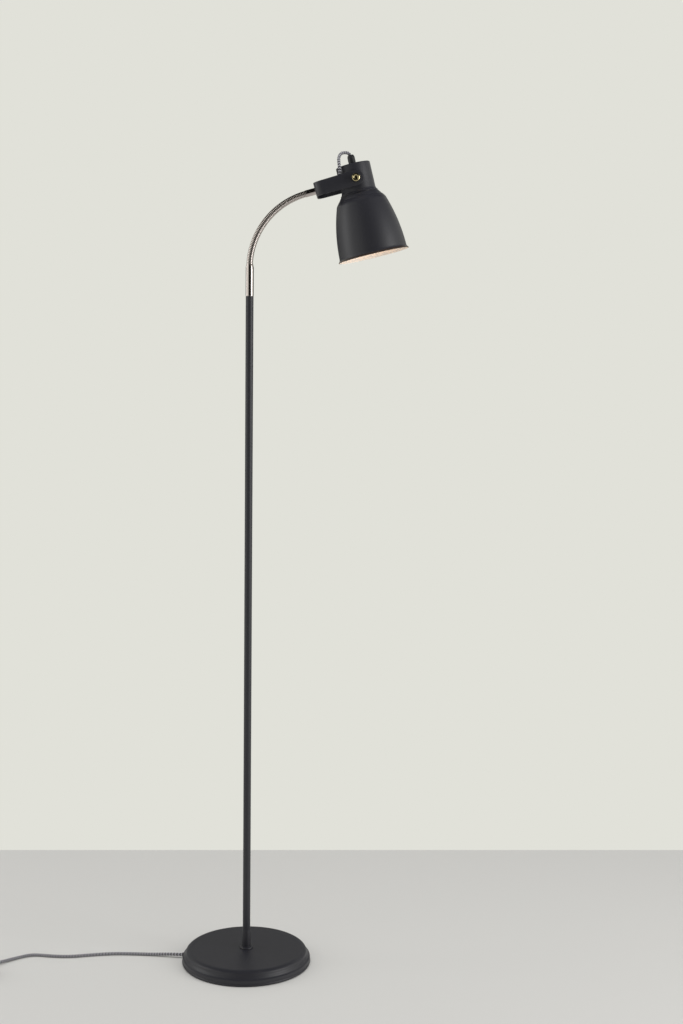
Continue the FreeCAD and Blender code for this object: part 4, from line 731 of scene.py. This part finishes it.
stand_for(cord_to_plug, "stand", "cord_fabric", "cord_run_b", "cord_coil")
print("coil", round(total_turns, 2), "turns,", len(route_to_plug), "points")

# %% [markdown]
# The two cord lengths that set the weave's pitch are those that the solids have.

# %% [markdown]
# Pieces that are already right keep their imported shape and only take a finish: the plug, the tie, and all
# that hides inside the base, the pole and the lampholder.

# %% Finishes for the imported pieces
def dress(finish, *names):
    for name in names:
        materials = nodes[name].data.materials
        materials.clear()
        materials.append(finish)


dress(iron, "base_weight")
dress(felt, "base_pad")
dress(zinc, "base_stud", "base_nut", "base_washer", "pole_bushes", "pole_studs", "neck_bolt", "neck_nut",
      "grip_nipple", "nipple_nut", "pivot_nuts", "plug_pins")
dress(black_plastic, "cord_grommet", "cord_bush", "coil_tie", "plug_body", "holder_dome", "holder_skirt")
dress(fibre, "pivot_washers")
dress(brass, "holder_shell")
dress(ceramic, "holder_contact")
dress(bulb_glass, "bulb_globe")
dress(bulb_cap, "bulb_base")
dress(new_finish("inner cord sleeve", tone(96, 95, 99), 0.8), "inner_cord", "holder_cord")
print("packed pieces", len(nodes))

# %% [markdown]
# The lamp stands on a pale floor that ends at a pale wall.  The wall is only the colour of the world behind
# the floor's edge, so it never stands in the way when the lamp is looked at from behind.  The light on the
# lamp is plain and neutral, and what the camera sees of the world is told apart by the kind of ray.

# %% Floor
FLOOR_TONE = tone(214, 213, 209)
FLOOR_FRONT, FLOOR_SIDE = -3.6, 1.8
WALL_LEFT, WALL_RIGHT = 0.543, 0.739
floor_shape = bmesh.new()
corners = [(-FLOOR_SIDE, FLOOR_FRONT), (FLOOR_SIDE, FLOOR_FRONT),
           (FLOOR_SIDE, WALL_RIGHT), (-FLOOR_SIDE, WALL_LEFT)]
bmesh.ops.contextual_create(floor_shape, geom=[floor_shape.verts.new((x, y, 0)) for x, y in corners])
floor = keep_mesh("floor", floor_shape, new_finish("pale floor", FLOOR_TONE, 0.7))

# %% World: one light for the lamp, one colour for the eye
WALL_TONE = tone(225, 225, 217)
LIGHT_STRENGTH = 0.45
world = bpy.data.worlds.new("studio")
bpy.context.scene.world = world
world.use_nodes = True
sky = world.node_tree
light = sky.nodes["Background"]
light.inputs["Color"].default_value = (1.0, 1.0, 1.0, 1.0)
light.inputs["Strength"].default_value = LIGHT_STRENGTH
wall = sky.nodes.new("ShaderNodeBackground")
wall.inputs["Color"].default_value = WALL_TONE
wall.inputs["Strength"].default_value = 1.0
rays = sky.nodes.new("ShaderNodeLightPath")
seen = rays.outputs["Is Camera Ray"]
for kind in ("Is Glossy Ray", "Is Transmission Ray"):
    either = sky.nodes.new("ShaderNodeMath")
    either.operation = "MAXIMUM"
    sky.links.new(seen, either.inputs[0])
    sky.links.new(rays.outputs[kind], either.inputs[1])
    seen = either.outputs[0]
choice = sky.nodes.new("ShaderNodeMixShader")
sky.links.new(seen, choice.inputs["Fac"])
sky.links.new(light.outputs[0], choice.inputs[1])
sky.links.new(wall.outputs[0], choice.inputs[2])
sky.links.new(choice.outputs[0], sky.nodes["World Output"].inputs["Surface"])

# %% [markdown]
# A polished tube is a mirror, and a mirror in an all-white room looks like chalk.  A photographer hangs
# black cloth where the metal should look dark.  One in front draws the dark line down the middle of the
# ferrules, a long low one behind darkens their edges, and one overhead darkens the upper side of the neck.
# Only reflections see them: the camera, the soft light and the shadows pass them by.

# %% Black cloths
cloth_black = new_finish("black cloth", tone(16, 14, 14), 1.0)


def hang_cloth(name, size, tilt, place):
    """A flat black cloth of this width and height in metres, level or stood up by its tilt in degrees."""
    shape = bmesh.new()
    bmesh.ops.create_grid(shape, x_segments=1, y_segments=1, size=0.5)
    bmesh.ops.scale(shape, vec=(*size, 1), verts=shape.verts)
    bmesh.ops.rotate(shape, matrix=Matrix.Rotation(math.radians(tilt), 3, "X"), verts=shape.verts)
    bmesh.ops.translate(shape, vec=place, verts=shape.verts)
    cloth = keep_mesh(name, shape, cloth_black)
    cloth.visible_camera = cloth.visible_diffuse = cloth.visible_shadow = False


hang_cloth("front cloth", (5.6, 6.0), 90, (0.6, -4.4, 3.0))
hang_cloth("back cloth", (30.0, 1.8), 90, (0.0, 5.0, 1.3))
hang_cloth("top cloth", (12.0, 10.0), 0, (0.0, 1.0, 5.5))

# %% [markdown]
# Two tall lamps at the sides draw the bright lines on the polished tubes and the soft bands on the shade.  A
# third lights the floor and the top of the base from above, and is kept out of the reflections.

# %% Soft lamps
def soft_lamp(name, place, aim, size, energy):
    """An oblong lamp of this width and height in metres, turned to its aim."""
    data = bpy.data.lights.new(name, "AREA")
    data.shape = "RECTANGLE"
    data.size, data.size_y = size
    data.energy = energy
    lamp = bpy.data.objects.new(name, data)
    lamp.location = place
    lamp.rotation_euler = (Vector(aim) - Vector(place)).to_track_quat("-Z", "Y").to_euler()
    bpy.context.scene.collection.objects.link(lamp)
    return lamp


soft_lamp("left lamp", (-2.4, -0.1, 1.4), (0, 0, 1.3), (0.7, 2.0), 12)
soft_lamp("right lamp", (2.5, -1.0, 1.4), (0, 0, 1.3), (1.0, 2.0), 30)
overhead = soft_lamp("overhead lamp", (0, -0.3, 3.4), (0, 0, 0), (2.0, 2.0), 42)
overhead.visible_glossy = False

# %% [markdown]
# The camera is the photograph's: a short telephoto, a little lower than the neck, tipped down to the base.
# It was fitted to the pole, the ellipse of the base and the head, so its place and turn are measured values.

# %% Camera
CAMERA_PLACE = Vector((0.22299, -2.7645, 1.14956))
RIGHT = Vector((0.99973, 0.02042, 0.01144))
UP = Vector((-0.01354, 0.10584, 0.9943))
PHOTO_HEIGHT, FOCAL_PIXELS = 1024, 1523.0
camera_data = bpy.data.cameras.new("camera")
camera_data.sensor_fit = "VERTICAL"
camera_data.sensor_height = 36.0
camera_data.lens = FOCAL_PIXELS / PHOTO_HEIGHT * camera_data.sensor_height
camera_data.clip_end = 50.0
camera = bpy.data.objects.new("camera", camera_data)
back = RIGHT.cross(UP)
camera.matrix_world = Matrix.Translation(CAMERA_PLACE) @ Matrix((RIGHT, UP, back)).transposed().to_4x4()
bpy.context.scene.collection.objects.link(camera)
bpy.context.scene.camera = camera
bpy.context.scene.view_settings.view_transform = "Standard"
print("lens", round(camera_data.lens, 2), "mm")
